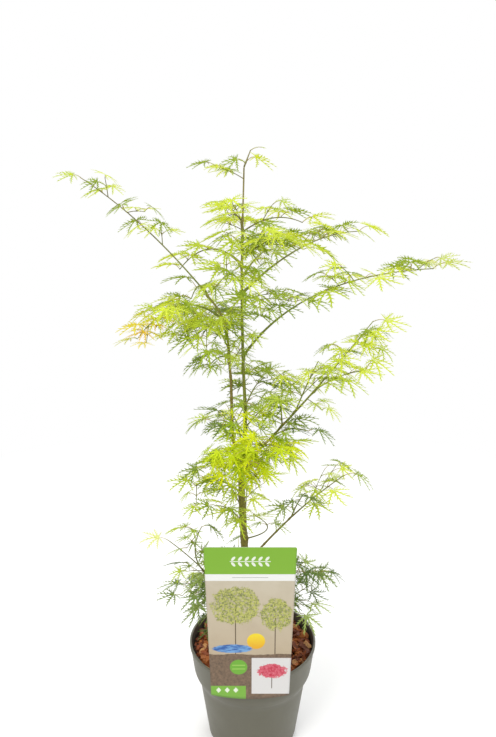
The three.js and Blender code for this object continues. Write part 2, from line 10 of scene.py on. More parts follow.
import bpy
import mathutils
import numpy as np
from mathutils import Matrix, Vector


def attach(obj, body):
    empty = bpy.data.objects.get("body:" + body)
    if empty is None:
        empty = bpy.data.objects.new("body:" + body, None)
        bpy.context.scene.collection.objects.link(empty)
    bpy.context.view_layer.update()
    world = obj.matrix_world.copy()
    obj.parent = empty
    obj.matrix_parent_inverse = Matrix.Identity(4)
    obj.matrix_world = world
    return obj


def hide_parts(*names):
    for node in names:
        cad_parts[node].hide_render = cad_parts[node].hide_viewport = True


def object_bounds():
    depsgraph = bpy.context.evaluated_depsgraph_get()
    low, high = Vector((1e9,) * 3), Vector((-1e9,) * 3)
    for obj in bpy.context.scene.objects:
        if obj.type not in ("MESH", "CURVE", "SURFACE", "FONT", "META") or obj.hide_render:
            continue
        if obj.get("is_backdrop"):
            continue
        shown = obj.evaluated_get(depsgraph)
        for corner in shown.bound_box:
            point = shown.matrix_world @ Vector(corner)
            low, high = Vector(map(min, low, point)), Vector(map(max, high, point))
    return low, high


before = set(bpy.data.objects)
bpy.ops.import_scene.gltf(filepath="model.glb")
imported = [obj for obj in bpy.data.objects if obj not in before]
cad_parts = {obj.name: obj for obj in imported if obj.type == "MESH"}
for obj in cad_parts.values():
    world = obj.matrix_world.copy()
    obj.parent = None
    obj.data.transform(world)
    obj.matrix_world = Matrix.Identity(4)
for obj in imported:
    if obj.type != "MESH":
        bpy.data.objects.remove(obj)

cad_low, cad_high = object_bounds()
MM = 0.001
print("the model holds", len(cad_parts), "nodes and is", round(cad_high.z - cad_low.z, 3), "m tall")

# %% [markdown]
# ## The camera
# A product picture of a plant is taken from its own height, looking slightly down, with a lens of normal
# length. The lens looks along the camera's own -Z axis, so a turn of 90 degrees about X would look level,
# and a smaller turn looks down.

# %% Camera
CAMERA_PLACE = (-7, -930.6, 858)
CAMERA_TURN = 73.7  # degrees about X
LENS = 35

camera = bpy.data.objects.new("camera", bpy.data.cameras.new("camera"))
camera.data.lens = LENS
camera.location = [side * MM for side in CAMERA_PLACE]
camera.rotation_euler = (math.radians(CAMERA_TURN), 0, 0)
bpy.context.scene.collection.objects.link(camera)
bpy.context.scene.camera = camera
print("the camera stands", round(-camera.location.y, 3), "m in front of the stem")

# %% [markdown]
# ## Arrays into meshes
# Blender can build a mesh from one flat list of coordinates and one of corner numbers. That is much faster
# than adding vertices one by one, so every piece here ends in this one helper. It takes millimetres.

# %% From arrays to a piece
def piece_of(name, points, faces, materials, uv=None, smooth=True, kinds=None):
    """A new object from an array of points and a list of arrays of faces, one array for each corner count.
    kinds gives the number of the material of each face."""
    mesh = bpy.data.meshes.new(name)
    points = np.asarray(points, float).reshape(-1, 3) * MM
    corners = np.concatenate([np.asarray(part).ravel() for part in faces])
    counts = np.concatenate([np.full(len(part), np.shape(part)[1]) for part in faces])
    mesh.vertices.add(len(points))
    mesh.vertices.foreach_set("co", points.ravel())
    mesh.loops.add(len(corners))
    mesh.loops.foreach_set("vertex_index", corners.astype(np.int32))
    mesh.polygons.add(len(counts))
    mesh.polygons.foreach_set("loop_start", (np.cumsum(counts) - counts).astype(np.int32))
    mesh.polygons.foreach_set("use_smooth", np.full(len(counts), smooth))
    if kinds is not None:
        mesh.polygons.foreach_set("material_index", np.asarray(kinds, np.int32))
    if uv is not None:
        mesh.uv_layers.new(name="surface").data.foreach_set("uv", np.asarray(uv)[corners].ravel())
    mesh.update(calc_edges=True)
    for material in materials:
        mesh.materials.append(material)
    made = bpy.data.objects.new(name, mesh)
    bpy.context.scene.collection.objects.link(made)
    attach(made, "root")
    return made


# %% Faces of grids and rings
def grid_faces(rows, columns, closed=False):
    """The quads of a grid of rows by columns, whose last column meets the first where it is closed."""
    row, column = np.mgrid[0:rows - 1, 0:columns if closed else columns - 1]
    after = (column + 1) % columns
    corners = (row * columns + column, row * columns + after,
               (row + 1) * columns + after, (row + 1) * columns + column)
    return np.stack([corner.ravel() for corner in corners], axis=1)


def capped_faces(rings, sides):
    """Quads between rings of points, and fans to the two points that follow the rings, one at the middle of
    the first ring and one at the middle of the last."""
    here = np.arange(sides)
    after, last = (here + 1) % sides, (rings - 1) * sides
    foot = np.stack([np.full(sides, rings * sides), after, here], axis=1)
    tip = np.stack([np.full(sides, rings * sides + 1), last + here, last + after], axis=1)
    return [grid_faces(rings, sides, closed=True), np.concatenate([foot, tip])]


def repeated(faces, stride, count):
    """The same faces for each of many equal shapes, whose points follow one another."""
    starts = stride * np.arange(count)[:, None, None]
    return (np.asarray(faces)[None] + starts).reshape(-1, np.shape(faces)[1])


# %% Two small helpers
def unit(vectors):
    """Vectors of length one: each is divided by the root of the sum of its squares."""
    return vectors / np.linalg.norm(vectors, axis=-1, keepdims=True)


def mix(a, b, share):
    """The value at a share of the way from a to b."""
    return a + (b - a) * share


# %% [markdown]
# ## Materials from arithmetic
# A finish such as bark is arithmetic on patterns. Wrapping a socket in a small class lets that arithmetic be
# written as it is thought: an expression on values adds the Math nodes by itself.

# %% Shader arithmetic
def adds_node(operation, swapped=False):
    """A method that adds one Math node, with its two values in order or swapped."""
    def method(self, *others):
        values = (self, *others)
        return self.maths(operation, *(values[::-1] if swapped else values))
    return method


class Value:
    """A number or colour that changes over a surface. Arithmetic on numbers adds Math nodes."""

    def __init__(self, paint, socket):
        self.paint, self.socket = paint, socket

    def maths(self, operation, *values):
        return self.paint.node("ShaderNodeMath", {"operation": operation}, dict(enumerate(values)))

    def clamped(self):
        return self.paint.node("ShaderNodeClamp", {}, {"Value": self})

    __add__ = __radd__ = adds_node("ADD")
    __sub__ = adds_node("SUBTRACT")
    __rsub__ = adds_node("SUBTRACT", swapped=True)
    __mul__ = __rmul__ = adds_node("MULTIPLY")
    __truediv__ = adds_node("DIVIDE")
    __lt__ = adds_node("LESS_THAN")
    __gt__ = adds_node("GREATER_THAN")
    __abs__ = adds_node("ABSOLUTE")


# %% A material under construction
def set_stops(ramp, stops):
    """Gives a colour ramp its stops, as pairs of a place from 0 to 1 and a colour."""
    while len(ramp.elements) < len(stops):
        ramp.elements.new(1.0)
    for element, (place, colour) in zip(ramp.elements, stops):
        element.position = place
        element.color = colour


class Paint:
    """A material under construction."""

    def __init__(self, name):
        self.material = bpy.data.materials.new(name)
        self.material.use_nodes = True
        self.tree = self.material.node_tree
        self.tree.nodes.clear()

    def node(self, kind, settings=None, sockets=None, output=0):
        """Adds a node: first its settings, then the value or the link of each socket."""
        made = self.tree.nodes.new(kind)
        for name, value in (settings or {}).items():
            if name == "stops":
                set_stops(made.color_ramp, value)
            else:
                setattr(made, name, value)
        for name, value in (sockets or {}).items():
            if isinstance(value, Value):
                self.tree.links.new(value.socket, made.inputs[name])
            else:
                made.inputs[name].default_value = value
        return Value(self, made.outputs[output])

    def place(self):
        """Where a point is, in the piece's own coordinates in metres."""
        return self.node("ShaderNodeTexCoord", output="Object")

    def axes(self, vector):
        """The three numbers of a vector."""
        parts = self.node("ShaderNodeSeparateXYZ", {}, {"Vector": vector})
        return [Value(self, output) for output in parts.socket.node.outputs]

    def stretched(self, vector, scale):
        """The same place with each axis scaled by itself."""
        return self.node("ShaderNodeMapping", {}, {"Vector": vector, "Scale": scale})

    def noise(self, vector, size, detail=3.0, roughness=0.5):
        """Soft cloudy noise from 0 to 1, whose blots are about size millimetres across."""
        sockets = {"Vector": vector, "Scale": 1 / (size * MM), "Detail": detail, "Roughness": roughness}
        return self.node("ShaderNodeTexNoise", {}, sockets)

    def blend(self, share, first, second):
        """The colour at a share of the way from the first to the second."""
        return self.node("ShaderNodeMix", {"data_type": "RGBA"}, {0: share, 6: first, 7: second}, output=2)

    def mottled(self, pattern, gain, loss, first, second):
        """The first colour, and the second where a pattern, stretched by a gain and a loss, is high."""
        return self.blend((pattern * gain - loss).clamped(), first, second)

    def bump(self, height, depth, strength):
        """A normal from a height that runs from 0 to 1, and how deep in millimetres it is."""
        sockets = {"Height": height, "Distance": depth * MM, "Strength": strength}
        return self.node("ShaderNodeBump", {}, sockets)

    def finish(self, base, roughness, normal=None, specular=0.5, through=None):
        """Ends the material in a Principled shader. through adds light that shines through a thin sheet:
        its share and its colour."""
        sockets = {"Base Color": base, "Roughness": roughness, "Specular IOR Level": specular}
        if normal:
            sockets["Normal"] = normal
        shader = self.node("ShaderNodeBsdfPrincipled", {}, sockets)
        if through:
            share, colour = through
            glow = self.node("ShaderNodeBsdfTranslucent", {}, {"Color": colour})
            shader = self.node("ShaderNodeMixShader", {}, {0: share, 1: shader, 2: glow})
        return self.surface(shader)

    def surface(self, shader):
        """Ends the material in a shader."""
        output = self.tree.nodes.new("ShaderNodeOutputMaterial")
        self.tree.links.new(shader.socket, output.inputs["Surface"])
        return self.material


# %% Screen colours
def colour(red, green, blue):
    """The linear colour of a screen colour given from 0 to 255."""
    screen = np.array([red, green, blue]) / 255
    linear = np.where(screen <= 0.04045, screen / 12.92, ((screen + 0.055) / 1.055) ** 2.4)
    return (*linear.tolist(), 1.0)


# %% [markdown]
# ## How the plant grows
# The model's leaves were grown by a rule: each limb bends from its foot to its reach, pairs of leaves stand
# on its twig at even steps, and each leaf looks for a place that is clear of its neighbours. The same rule is
# written here again with the same sizes and the same dice, so that every lacy leaf below stands where the
# model has a plain one.

# %% Sizes of the plant and its pot, in millimetres
GAP = 0.3
UP = np.array([0.0, 0.0, 1.0])
AWAY = np.array([0.0, 1.0, 0.0])
UPRIGHT = 0.86  # a direction with more rise than this counts as upright
SOIL_Z = 145
POT_HEIGHT = 160
RIM_RADIUS = 95
CARD_TOP_WIDTH = 123
CARD_TOP_Z = 370
CARD_MIDDLE_X = -4
TRUNK_FOOT_RADIUS = 6.2
TRUNK_FORK_RADIUS = 4.6
LEADER_RADIUS = 3.1
LEADER_TIP_RADIUS = 1
ROOT_FLARE = 3.4
FLARE_HEIGHT = 14
FORK_Z = 437
FORK_BLEND = 30
SECOND_STEM_RADIUS = 2.9
SECOND_STEM_TIP_RADIUS = 1.5
BOUGH_RADIUS = 2.1
BOUGH_TIP_RADIUS = 1.25
TWIG_RADIUS = 1.1
TWIG_TIP_RADIUS = 0.6
STALK_RADIUS = 0.62
LEAF_CLEARANCE = 0.9
RIM_ROOM = 14
TRUNK_ROOM = 20
CARD_ROOM = 6
RODS_PER_LIMB = 12
SEED = 20117
SEED_STEP = 97  # from one limb's dice to the next one's
DICE_FACTOR, DICE_LIMIT = 16807, 2147483647

# %% Sizes of its leaves
LOBE_TURNS = np.radians([-112, -73, -36, 0, 36, 73, 112])
LOBE_REACHES = np.array([0.5, 0.76, 0.93, 1.0, 0.93, 0.76, 0.5])
LOBE_ROD = 0.05
STALK_TURN = (-0.25, 0.25)
STALK_LIFT = (0.05, 0.6)
STALK_LENGTH = (0.38, 0.6)
LEAF_PITCH = (-0.6, 0.12)
LEAF_ROLL = (-0.55, 0.55)
LEAF_DROOP = (0.1, 0.28)
LEAF_VARIETY = (0.9, 1.1)
LEAF_TRIES = 12
MORE_SPREAD = 0.3
FORWARD = 0.55
ROOT_STEP = 0.9
FIRST_PAIR = 0.35
OUTER_PAIR_LOSS = 0.12
TIP_LEAF = 0.9
TIP_ROOT = 0.995
TIP_LEAF_REACH = 1.3
LEAST_TWIG = 0.45
TIP_WAY = np.array([1, -0.3, 0.0])  # where the last leaf of an upright twig points

# %% The stems' points
TRUNK_LINE = [
    [0, 0, 138], [-2, 0, 165], [-13, 3, 330], [-16, 1, FORK_Z], [-11, -1, 505],
    [-14, 1, 610], [-15, 0, 720], [-12, 0, 848],
]
SECOND_STEM_LINE = [[-15, 0, 428], [-27, 1, 480], [-31, 0, 580], [-40, 0, 654], [-71, 0, 700]]


# %% The limbs
def limb(name, on, at, reach, bow=10, bough=0, bare=0.2, pairs=2, leaf=38, tint="lime", fine=0):
    """A limb leaves a stem at a height, or a bough at a share of its length, and its leaves end at the reach.
    fine is how richly its twig branches on into side twigs."""
    return {"name": name, "on": on, "at": at, "reach": reach, "bow": bow, "bough": bough, "bare": bare,
            "pairs": pairs, "leaf": leaf, "tint": tint, "fine": fine}


LIMBS = [
    # round the leader
    limb("crown_tip", "trunk", "tip", [6, 2, 893], bow=0, bare=0, pairs=1, leaf=32),
    limb("upper_left", "trunk", 780, [-52, -8, 800], bow=5, bare=0.1, leaf=34, fine=0.1),
    limb("upper_right", "trunk", 768, [106, 50, 782], bow=12, bare=0.1),
    limb("upper_front", "trunk", 750, [-34, -84, 764], bow=6, fine=0.1),
    limb("upper_back", "trunk", 757, [-20, 136, 780], bow=8, fine=0.1),
    limb("rising_right", "trunk", 688, [184, 84, 780], bow=20, bough=0.36, pairs=3, fine=0.2),
    limb("heart_right", "trunk", 737, [80, -48, 764], bow=8, bare=0.1, pairs=3, fine=0.2),
    limb("heart_left", "trunk", 726, [-138, 50, 710], bow=24, bough=0.3, pairs=3, leaf=36),
    limb("heart_back", "trunk", 708, [52, 186, 732], bow=14, bough=0.28, pairs=3, tint="green", fine=0.1),
    limb("heart_front", "trunk", 700, [-58, -122, 718], bow=14, bare=0.15, pairs=3, fine=0.1),
    limb("heart_low_right", "trunk", 678, [48, -90, 682], bow=8, bare=0.15, pairs=3, tint="green", fine=0.1),
    limb("right_reach", "trunk", 602, [262, -50, 748], bow=[-24, 0, 26], bough=0.34, pairs=5),
    # on the second stem
    limb("left_reach", "second_stem", "tip", [-238, -22, 860], bow=10, bare=0.46, pairs=3, leaf=30),
    limb("left_gold", "second_stem", 652, [-172, -62, 652], bow=26, bough=0.28, pairs=4, leaf=34,
         tint="gold", fine=0.2),
    limb("left_upper", "second_stem", 684, [-112, 35, 672], bow=16, bare=0.1),
    limb("left_hang", "second_stem", 636, [-104, -50, 632], bow=16, bare=0.1, pairs=3, fine=0.6),
    limb("left_back", "second_stem", 612, [-92, 132, 652], bow=12, tint="green", fine=1.3),
    limb("left_pair", "second_stem", 600, [-86, -32, 592], bow=6, pairs=1, leaf=38, tint="green"),
    limb("left_low_pair", "second_stem", 503, [-88, -10, 520], bow=5, pairs=1, leaf=36, tint="dark"),
    # the bright front, and the arching right limb
    limb("front_left", "trunk", 430, [-46, -124, 526], bow=12, pairs=3, leaf=36, tint="yellow", fine=1.0),
    limb("front_right", "trunk", 450, [42, -122, 530], bow=12, pairs=3, leaf=36, tint="yellow", fine=1.1),
    limb("right_fan", "trunk", 440, [184, -20, 690], bow=-6, bough=0.62, fine=0.3),
    limb("right_fan_low", "right_fan", 0.9, [186, -36, 610], bow=6, bare=0.1, pairs=3),
    limb("right_fan_high", "right_fan", 0.66, [106, 8, 636], bow=2, fine=0.45),
    limb("right_fan_inner", "right_fan", 0.5, [30, -44, 590], bare=0.1, pairs=3, leaf=36, tint="green",
         fine=0.1),
    limb("right_hanging", "right_fan", 0.36, [104, -58, 524], bow=8, pairs=1, leaf=34, tint="dark"),
    # the back and the middle
    limb("middle_back", "trunk", 530, [36, 148, 544], bow=12, pairs=3, tint="green", fine=0.1),
    limb("middle_back_left", "trunk", 470, [-44, 132, 500], bow=12, tint="green", fine=0.1),
    limb("middle_right", "trunk", 500, [86, 96, 540], tint="dark"),
    # low limbs
    limb("low_right", "trunk", 284, [158, 0, 458], bough=0.56, leaf=35, fine=0.6),
    limb("low_right_dark", "low_right", 0.9, [82, -46, 448], bow=4, leaf=34, tint="dark"),
    limb("low_left_upper", "trunk", 398, [-110, -62, 448], bow=14, bare=0.25, pairs=3, leaf=35),
    limb("low_left_middle", "trunk", 352, [-74, -50, 422], bow=8, leaf=33),
    limb("low_left", "trunk", 232, [-90, -22, 390], bow=[-36, 0, -10], bough=0.5, pairs=1, leaf=32,
         tint="green"),
    limb("low_left_pale", "low_left", 0.7, [-142, -30, 366], bow=3, pairs=1, leaf=32, tint="pale"),
    limb("low_back", "trunk", 318, [-6, 140, 392], bow=12, tint="green", fine=0.1),
    limb("low_back_left", "trunk", 372, [-84, 104, 430], bow=12, tint="dark", fine=0.1),
    limb("bent_shoot", "trunk", 326, [14, -30, 398], bow=[24, -4, 0], bare=0.6, pairs=1, leaf=24),
    limb("skirt_left", "trunk", 214, [-124, -46, 298], bow=16, bough=0.36, pairs=3, tint="dark", fine=0.8),
    limb("skirt_left_low", "trunk", 198, [-94, -56, 258], bow=14, tint="dark", fine=0.8),
    limb("skirt_right", "trunk", 224, [116, -24, 306], bow=16, bough=0.36, pairs=3, leaf=36, tint="dark"),
    limb("skirt_right_low", "trunk", 206, [106, -50, 266], bow=14, leaf=36, tint="dark", fine=1.0),
    limb("skirt_back", "trunk", 208, [-30, 132, 284], bow=16, tint="dark", fine=0.2),
    limb("skirt_front", "trunk", 262, [-44, -58, 344], bow=8, leaf=34, tint="dark"),
]


# %% Lines that know their own length
class Line:
    """A curve that gives the point at a share of its length. It is sampled at even steps of its parameter,
    the steps' lengths are added up, and the parameter for a share is read between the two nearest sums."""

    STEPS = 200
    NEARBY = 1e-4  # how far along the parameter a slope is measured

    def __init__(self, point_at):
        self.point_at = point_at
        self.parameters = np.linspace(0, 1, self.STEPS + 1)
        steps = np.linalg.norm(np.diff(point_at(self.parameters), axis=0), axis=1)
        self.sums = np.concatenate([[0], np.cumsum(steps)])
        self.length = self.sums[-1]

    def parameter(self, share):
        return np.interp(np.atleast_1d(share) * self.length, self.sums, self.parameters)

    def points(self, shares):
        return self.point_at(self.parameter(shares))

    def point(self, share):
        return self.points(share)[0]

    def tangent(self, share):
        middle = self.parameter(share)
        before, after = np.clip(middle - self.NEARBY, 0, 1), np.clip(middle + self.NEARBY, 0, 1)
        return unit(self.point_at(after) - self.point_at(before))[0]


def bent_line(foot, tip, bow):
    """A quadratic bend: its control point is halfway, pushed off by twice the bow. A plain bow is upwards."""
    push = np.array(bow, float) if isinstance(bow, list) else UP * bow
    middle = (foot + tip) / 2 + 2 * push

    def point_at(t):
        t = t[:, None]
        return (1 - t) ** 2 * foot + 2 * (1 - t) * t * middle + t ** 2 * tip
    return Line(point_at)


# %% A smooth curve through points
def smooth_line(points):
    """A centripetal Catmull-Rom curve: each span is a cubic whose end slopes come from the neighbouring
    points, weighted by the square roots of the distances to them."""
    inner = np.array(points, float)
    whole = np.concatenate([[2 * inner[0] - inner[1]], inner, [2 * inner[-1] - inner[-2]]])
    root = np.sqrt(np.linalg.norm(np.diff(whole, axis=0), axis=1))[:, None]
    jump = np.diff(whole, axis=0)

    def slope(i, span):
        across = (whole[i + 1] - whole[i - 1]) / (root[i - 1] + root[i])
        return (jump[i - 1] / root[i - 1] - across + jump[i] / root[i]) * root[span]

    def point_at(t):
        place = t * (len(inner) - 1)
        span = np.minimum(place.astype(int), len(inner) - 2)
        t, i = (place - span)[:, None], span + 1
        first, last = slope(i, i), slope(i + 1, i)
        rise = whole[i + 1] - whole[i]
        square, cube = 3 * rise - 2 * first - last, first + last - 2 * rise
        return whole[i] + first * t + square * t ** 2 + cube * t ** 3
    return Line(point_at)


# %% The lines of the two stems
trunk_line = smooth_line(TRUNK_LINE)
second_line = smooth_line(SECOND_STEM_LINE)
print("the trunk's line is", round(trunk_line.length), "mm long")


# %% Radii of the stems
def trunk_radius(height):
    """Straight tapers below and above the fork, with a flare at the ground that dies off with height."""
    flare = ROOT_FLARE * np.exp(-np.maximum(0, height - SOIL_Z) / FLARE_HEIGHT)
    below = mix(TRUNK_FOOT_RADIUS, TRUNK_FORK_RADIUS, (height - SOIL_Z) / (FORK_Z - SOIL_Z)) + flare
    above = mix(LEADER_RADIUS, LEADER_TIP_RADIUS, (height - FORK_Z) / (TRUNK_LINE[-1][2] - FORK_Z))
    above = above + (TRUNK_FORK_RADIUS - LEADER_RADIUS) * np.exp(-(height - FORK_Z) / FORK_BLEND)
    return np.where(height < FORK_Z, below, above)


def share_at_height(line, height):
    """The share of a stem's length at which it reaches a height, found by halving."""
    low, high = 0.0, 1.0
    while high - low > 1e-4:
        middle = (low + high) / 2
        if line.point(middle)[2] < height:
            low = middle
        else:
            high = middle
    return low


# %% Dice that give the same run of numbers each time
def dice(seed):
    """Each state is the last one times the factor, less whole multiples of the limit."""
    state = seed

    def roll():
        nonlocal state
        state = (state * DICE_FACTOR) % DICE_LIMIT
        return state / DICE_LIMIT
    return roll


def pick(roll, least_and_most):
    """A throw between two limits."""
    return mix(*least_and_most, roll())


# %% [markdown]
# ## Room for each leaf
# While the plant grows, everything that stands is kept as short straight rods with a radius. A leaf has one
# rod for each lobe and one for its stalk, and it fits where its rods keep clear of all others. The distance
# between two rods is that of two line segments, which numpy works out for all pairs at once.

# %% Rods
class Rods:
    """A growing store of rods: their ends, radii, owners and whether they are lobes."""

    def __init__(self, most=40000):
        self.ends = np.zeros((most, 2, 3))
        self.radius = np.zeros(most)
        self.owner = np.full(most, "", "<U40")
        self.lobe = np.zeros(most, bool)
        self.count = 0

    def add(self, owner, ends, radius, lobe):
        new = slice(self.count, self.count + len(ends))
        self.ends[new], self.radius[new], self.owner[new], self.lobe[new] = ends, radius, owner, lobe
        self.count += len(ends)


def segment_distance(first, second):
    """The least distance of each of the first segments from each of the second. The two closest points are
    found where the segments' lines come nearest, held to the ends of both."""
    p1, d1 = first[:, None, 0], first[:, None, 1] - first[:, None, 0]
    p2, d2 = second[None, :, 0], second[None, :, 1] - second[None, :, 0]
    r = p1 - p2
    a, e = (d1 * d1).sum(-1), (d2 * d2).sum(-1)
    b, c, f = (d1 * d2).sum(-1), (d1 * r).sum(-1), (d2 * r).sum(-1)
    spread = a * e - b * b
    s = np.clip(np.where(spread != 0, (b * f - c * e) / np.where(spread != 0, spread, 1), 0), 0, 1)
    t = (b * s + f) / e
    s = np.where(t < 0, np.clip(-c / a, 0, 1), np.where(t > 1, np.clip((b - c) / a, 0, 1), s))
    t = np.clip(t, 0, 1)
    apart = r + s[..., None] * d1 - t[..., None] * d2
    return np.sqrt((apart ** 2).sum(-1))


# %% Whether a leaf has room
def over_rim_or_card(ends):
    """Whether any end hangs low over the rim, away from the trunk, or in front of the card."""
    x, y, z = np.reshape(ends, (-1, 3)).T
    low = (z < POT_HEIGHT + RIM_ROOM) & (np.hypot(x, y) > TRUNK_ROOM)
    over_card = (abs(x) < CARD_TOP_WIDTH / 2 + CARD_ROOM) & (z < CARD_TOP_Z + CARD_ROOM)
    return bool((low | (over_card & (y < -RIM_RADIUS + CARD_ROOM))).any())


def has_room(owner, ends, radius, lobe):
    """Whether a leaf's rods keep clear of the rim, the card, all other leaves and every limb but its own."""
    if over_rim_or_card(ends):
        return False
    n = rods.count
    apart = segment_distance(ends, rods.ends[:n])
    clear = apart > radius[:, None] + rods.radius[None, :n] + LEAF_CLEARANCE
    mine = (rods.owner[None, :n] == owner) & ~(lobe[:, None] & rods.lobe[None, :n])
    return bool((clear | mine).all())


# %% One leaf's place
def leaf_frame(node, heading, size, slack, roll):
    """The ways along, across and over a leaf, and its hub. The stalk leaves the node in the heading, turned
    and lifted a little, and the leaf hangs from the stalk's end at a pitch and a roll of its own."""
    way = unit(np.array([heading[0], heading[1], 0.0]))
    turn = pick(roll, STALK_TURN) * slack
    way = np.array([way[0] * math.cos(turn) - way[1] * math.sin(turn),
                    way[0] * math.sin(turn) + way[1] * math.cos(turn), pick(roll, STALK_LIFT) * slack])
    way = unit(way)
    hub = node + way * size * pick(roll, STALK_LENGTH)
    ahead = unit(np.array([way[0], way[1], pick(roll, LEAF_PITCH)]))
    across = unit(np.cross(UP, ahead))
    across = unit(across + UP * pick(roll, LEAF_ROLL))
    over = unit(np.cross(ahead, across))
    across = np.cross(over, ahead)
    return np.array([ahead, across, over]), hub


def lobe_tips(axes, hub, size, droop):
    """Each lobe's tip, at its turn and reach in the leaf's plane. It sinks with the square of its reach."""
    local = np.stack([LOBE_REACHES * np.cos(LOBE_TURNS), LOBE_REACHES * np.sin(LOBE_TURNS),
                      -droop * LOBE_REACHES ** 2], axis=1)
    return hub + size * local @ axes


rods = Rods()
leaves = []  # every leaf: its axes, hub, root, size, droop, tint and owner
twigs = []  # every twig: its line, the share where it starts, its two radii and the shares of its nodes


# %% Trying a leaf
def tried_leaves(owner, node, heading, size, tint, most, roll):
    """One try after another at a leaf, each turned a little further, with the tips of its lobes."""
    for tries in range(most):
        axes, hub = leaf_frame(node, heading, size, 1 + MORE_SPREAD * tries, roll)
        droop = pick(roll, LEAF_DROOP)
        leaf = {"axes": axes, "hub": hub, "root": node, "size": size, "droop": droop, "tint": tint,
                "owner": owner}
        yield leaf, lobe_tips(axes, hub, size, droop)


def grow_leaf(owner, node, heading, size, tint, roll):
    """The first try that finds room for its lobes and its stalk is kept. Where none does, the leaf is left
    out."""
    for leaf, tips in tried_leaves(owner, node, heading, size, tint, LEAF_TRIES, roll):
        hub = leaf["hub"]
        ends = np.stack([np.concatenate([np.tile(hub, (len(tips), 1)), [node]]),
                         np.concatenate([tips, [hub]])], axis=1)
        radius = np.append(np.full(len(tips), size * LOBE_ROD), STALK_RADIUS)
        lobe = np.append(np.full(len(tips), True), False)
        if has_room(owner, ends, radius, lobe):
            rods.add(owner, ends, radius, lobe)
            leaves.append(leaf)
            return


# %% Limbs and the leaves of the model
def remember(owner, line, start, end, radius_at):
    """Keeps a part of a line as rods."""
    shares = np.linspace(start, end, RODS_PER_LIMB + 1)
    points = line.points(shares)
    radius = np.array([radius_at(share) for share in shares[:-1]])
    rods.add(owner, np.stack([points[:-1], points[1:]], axis=1), radius, False)


def sideways(along, index):
    """The level direction square to the twig. On an upright twig each pair is turned square to the last."""
    if abs(along[2]) < UPRIGHT:
        return unit(np.cross(along, UP))
    turn = (index % 2) * math.pi / 2
    return np.array([math.cos(turn), math.sin(turn), 0.0])


def foot_of(one, parent):
    """Where a limb starts on the line of its parent."""
    line, end = parent["line"], parent["end"]
    if one["at"] == "tip":
        return line.point(end) + line.tangent(end) * GAP
    if one["on"] in ("trunk", "second_stem"):
        return line.point(share_at_height(line, one["at"]))
    return line.point(one["at"] * end)


def limb_line(one, parent):
    """The line of a limb stops short of its reach by what its last leaf adds."""
    foot = foot_of(one, parent)
    whole = np.array(one["reach"], float) - foot
    share = max(1 - TIP_LEAF_REACH * one["leaf"] * TIP_LEAF / np.linalg.norm(whole), LEAST_TWIG)
    return bent_line(foot, foot + whole * share, one["bow"])


# %% The leaves of a limb
def pair_share(one, start, pair):
    """Where along the limb a pair of leaves stands: at even steps over the leafy part."""
    leafy = mix(start, 1, one["bare"])
    return mix(leafy, 1, (pair + FIRST_PAIR) / (one["pairs"] + FIRST_PAIR))


def grow_mass(one, line, start, roll):
    """A limb's pairs of leaves, each pair smaller than the last, and the leaf at its tip."""
    owner = one["name"] + "_leaves"
    for pair in range(one["pairs"]):
        share = pair_share(one, start, pair)
        along = line.tangent(share)
        side = sideways(along, pair)
        size = one["leaf"] * (1 - OUTER_PAIR_LOSS * pair / one["pairs"])
        for hand in (-1, 1):
            node = line.point(share) + along * hand * ROOT_STEP
            heading = side * hand + along * FORWARD
            grow_leaf(owner, node, heading, size * pick(roll, LEAF_VARIETY), one["tint"], roll)
    outward = line.tangent(1)
    if outward[2] > UPRIGHT:
        outward = TIP_WAY
    grow_leaf(owner, line.point(TIP_ROOT), outward, one["leaf"] * TIP_LEAF, one["tint"], roll)


# %% Growing the limbs and their leaves
limbs = {"trunk": {"line": trunk_line, "end": 1}, "second_stem": {"line": second_line, "end": 1}}
remember("trunk", trunk_line, 0, 1, lambda share: trunk_radius(trunk_line.point(share)[2]))
remember("second_stem", second_line, 0, 1,
         lambda share: mix(SECOND_STEM_RADIUS, SECOND_STEM_TIP_RADIUS, share))
for one in LIMBS:
    line = limb_line(one, limbs[one["on"]])
    end = one["bough"]
    limbs[one["name"]] = {"line": line, "end": end}
    if end:
        remember(one["name"], line, 0, end,
                 lambda share: mix(BOUGH_RADIUS, BOUGH_TIP_RADIUS, share / end))
    start = end + GAP / line.length if end else 0
    limbs[one["name"]]["start"] = start
    remember(one["name"] + "_leaves", line, start, 1,
             lambda share: mix(TWIG_RADIUS, TWIG_TIP_RADIUS, (share - start) / (1 - start)))
bare_rods = rods.count
for index, one in enumerate(LIMBS):
    made = limbs[one["name"]]
    grow_mass(one, made["line"], made["start"], dice(SEED + SEED_STEP * (index + 1)))
print("the rule grew", len(leaves), "leaves, as the model has them")

# %% [markdown]
# ## Finer twigs
# A real twig of this plant branches again at its buds, and carries far more leaves than a light model can
# hold. The rule is carried on: from the nodes of each twig, short side twigs part to both sides, with smaller
# pairs of leaves. A side twig that would leave the crown's reach, or a leaf that would touch a limb, is
# skipped. Some more shoots are placed by name, and a few gaps are kept open so that the sky shows through.

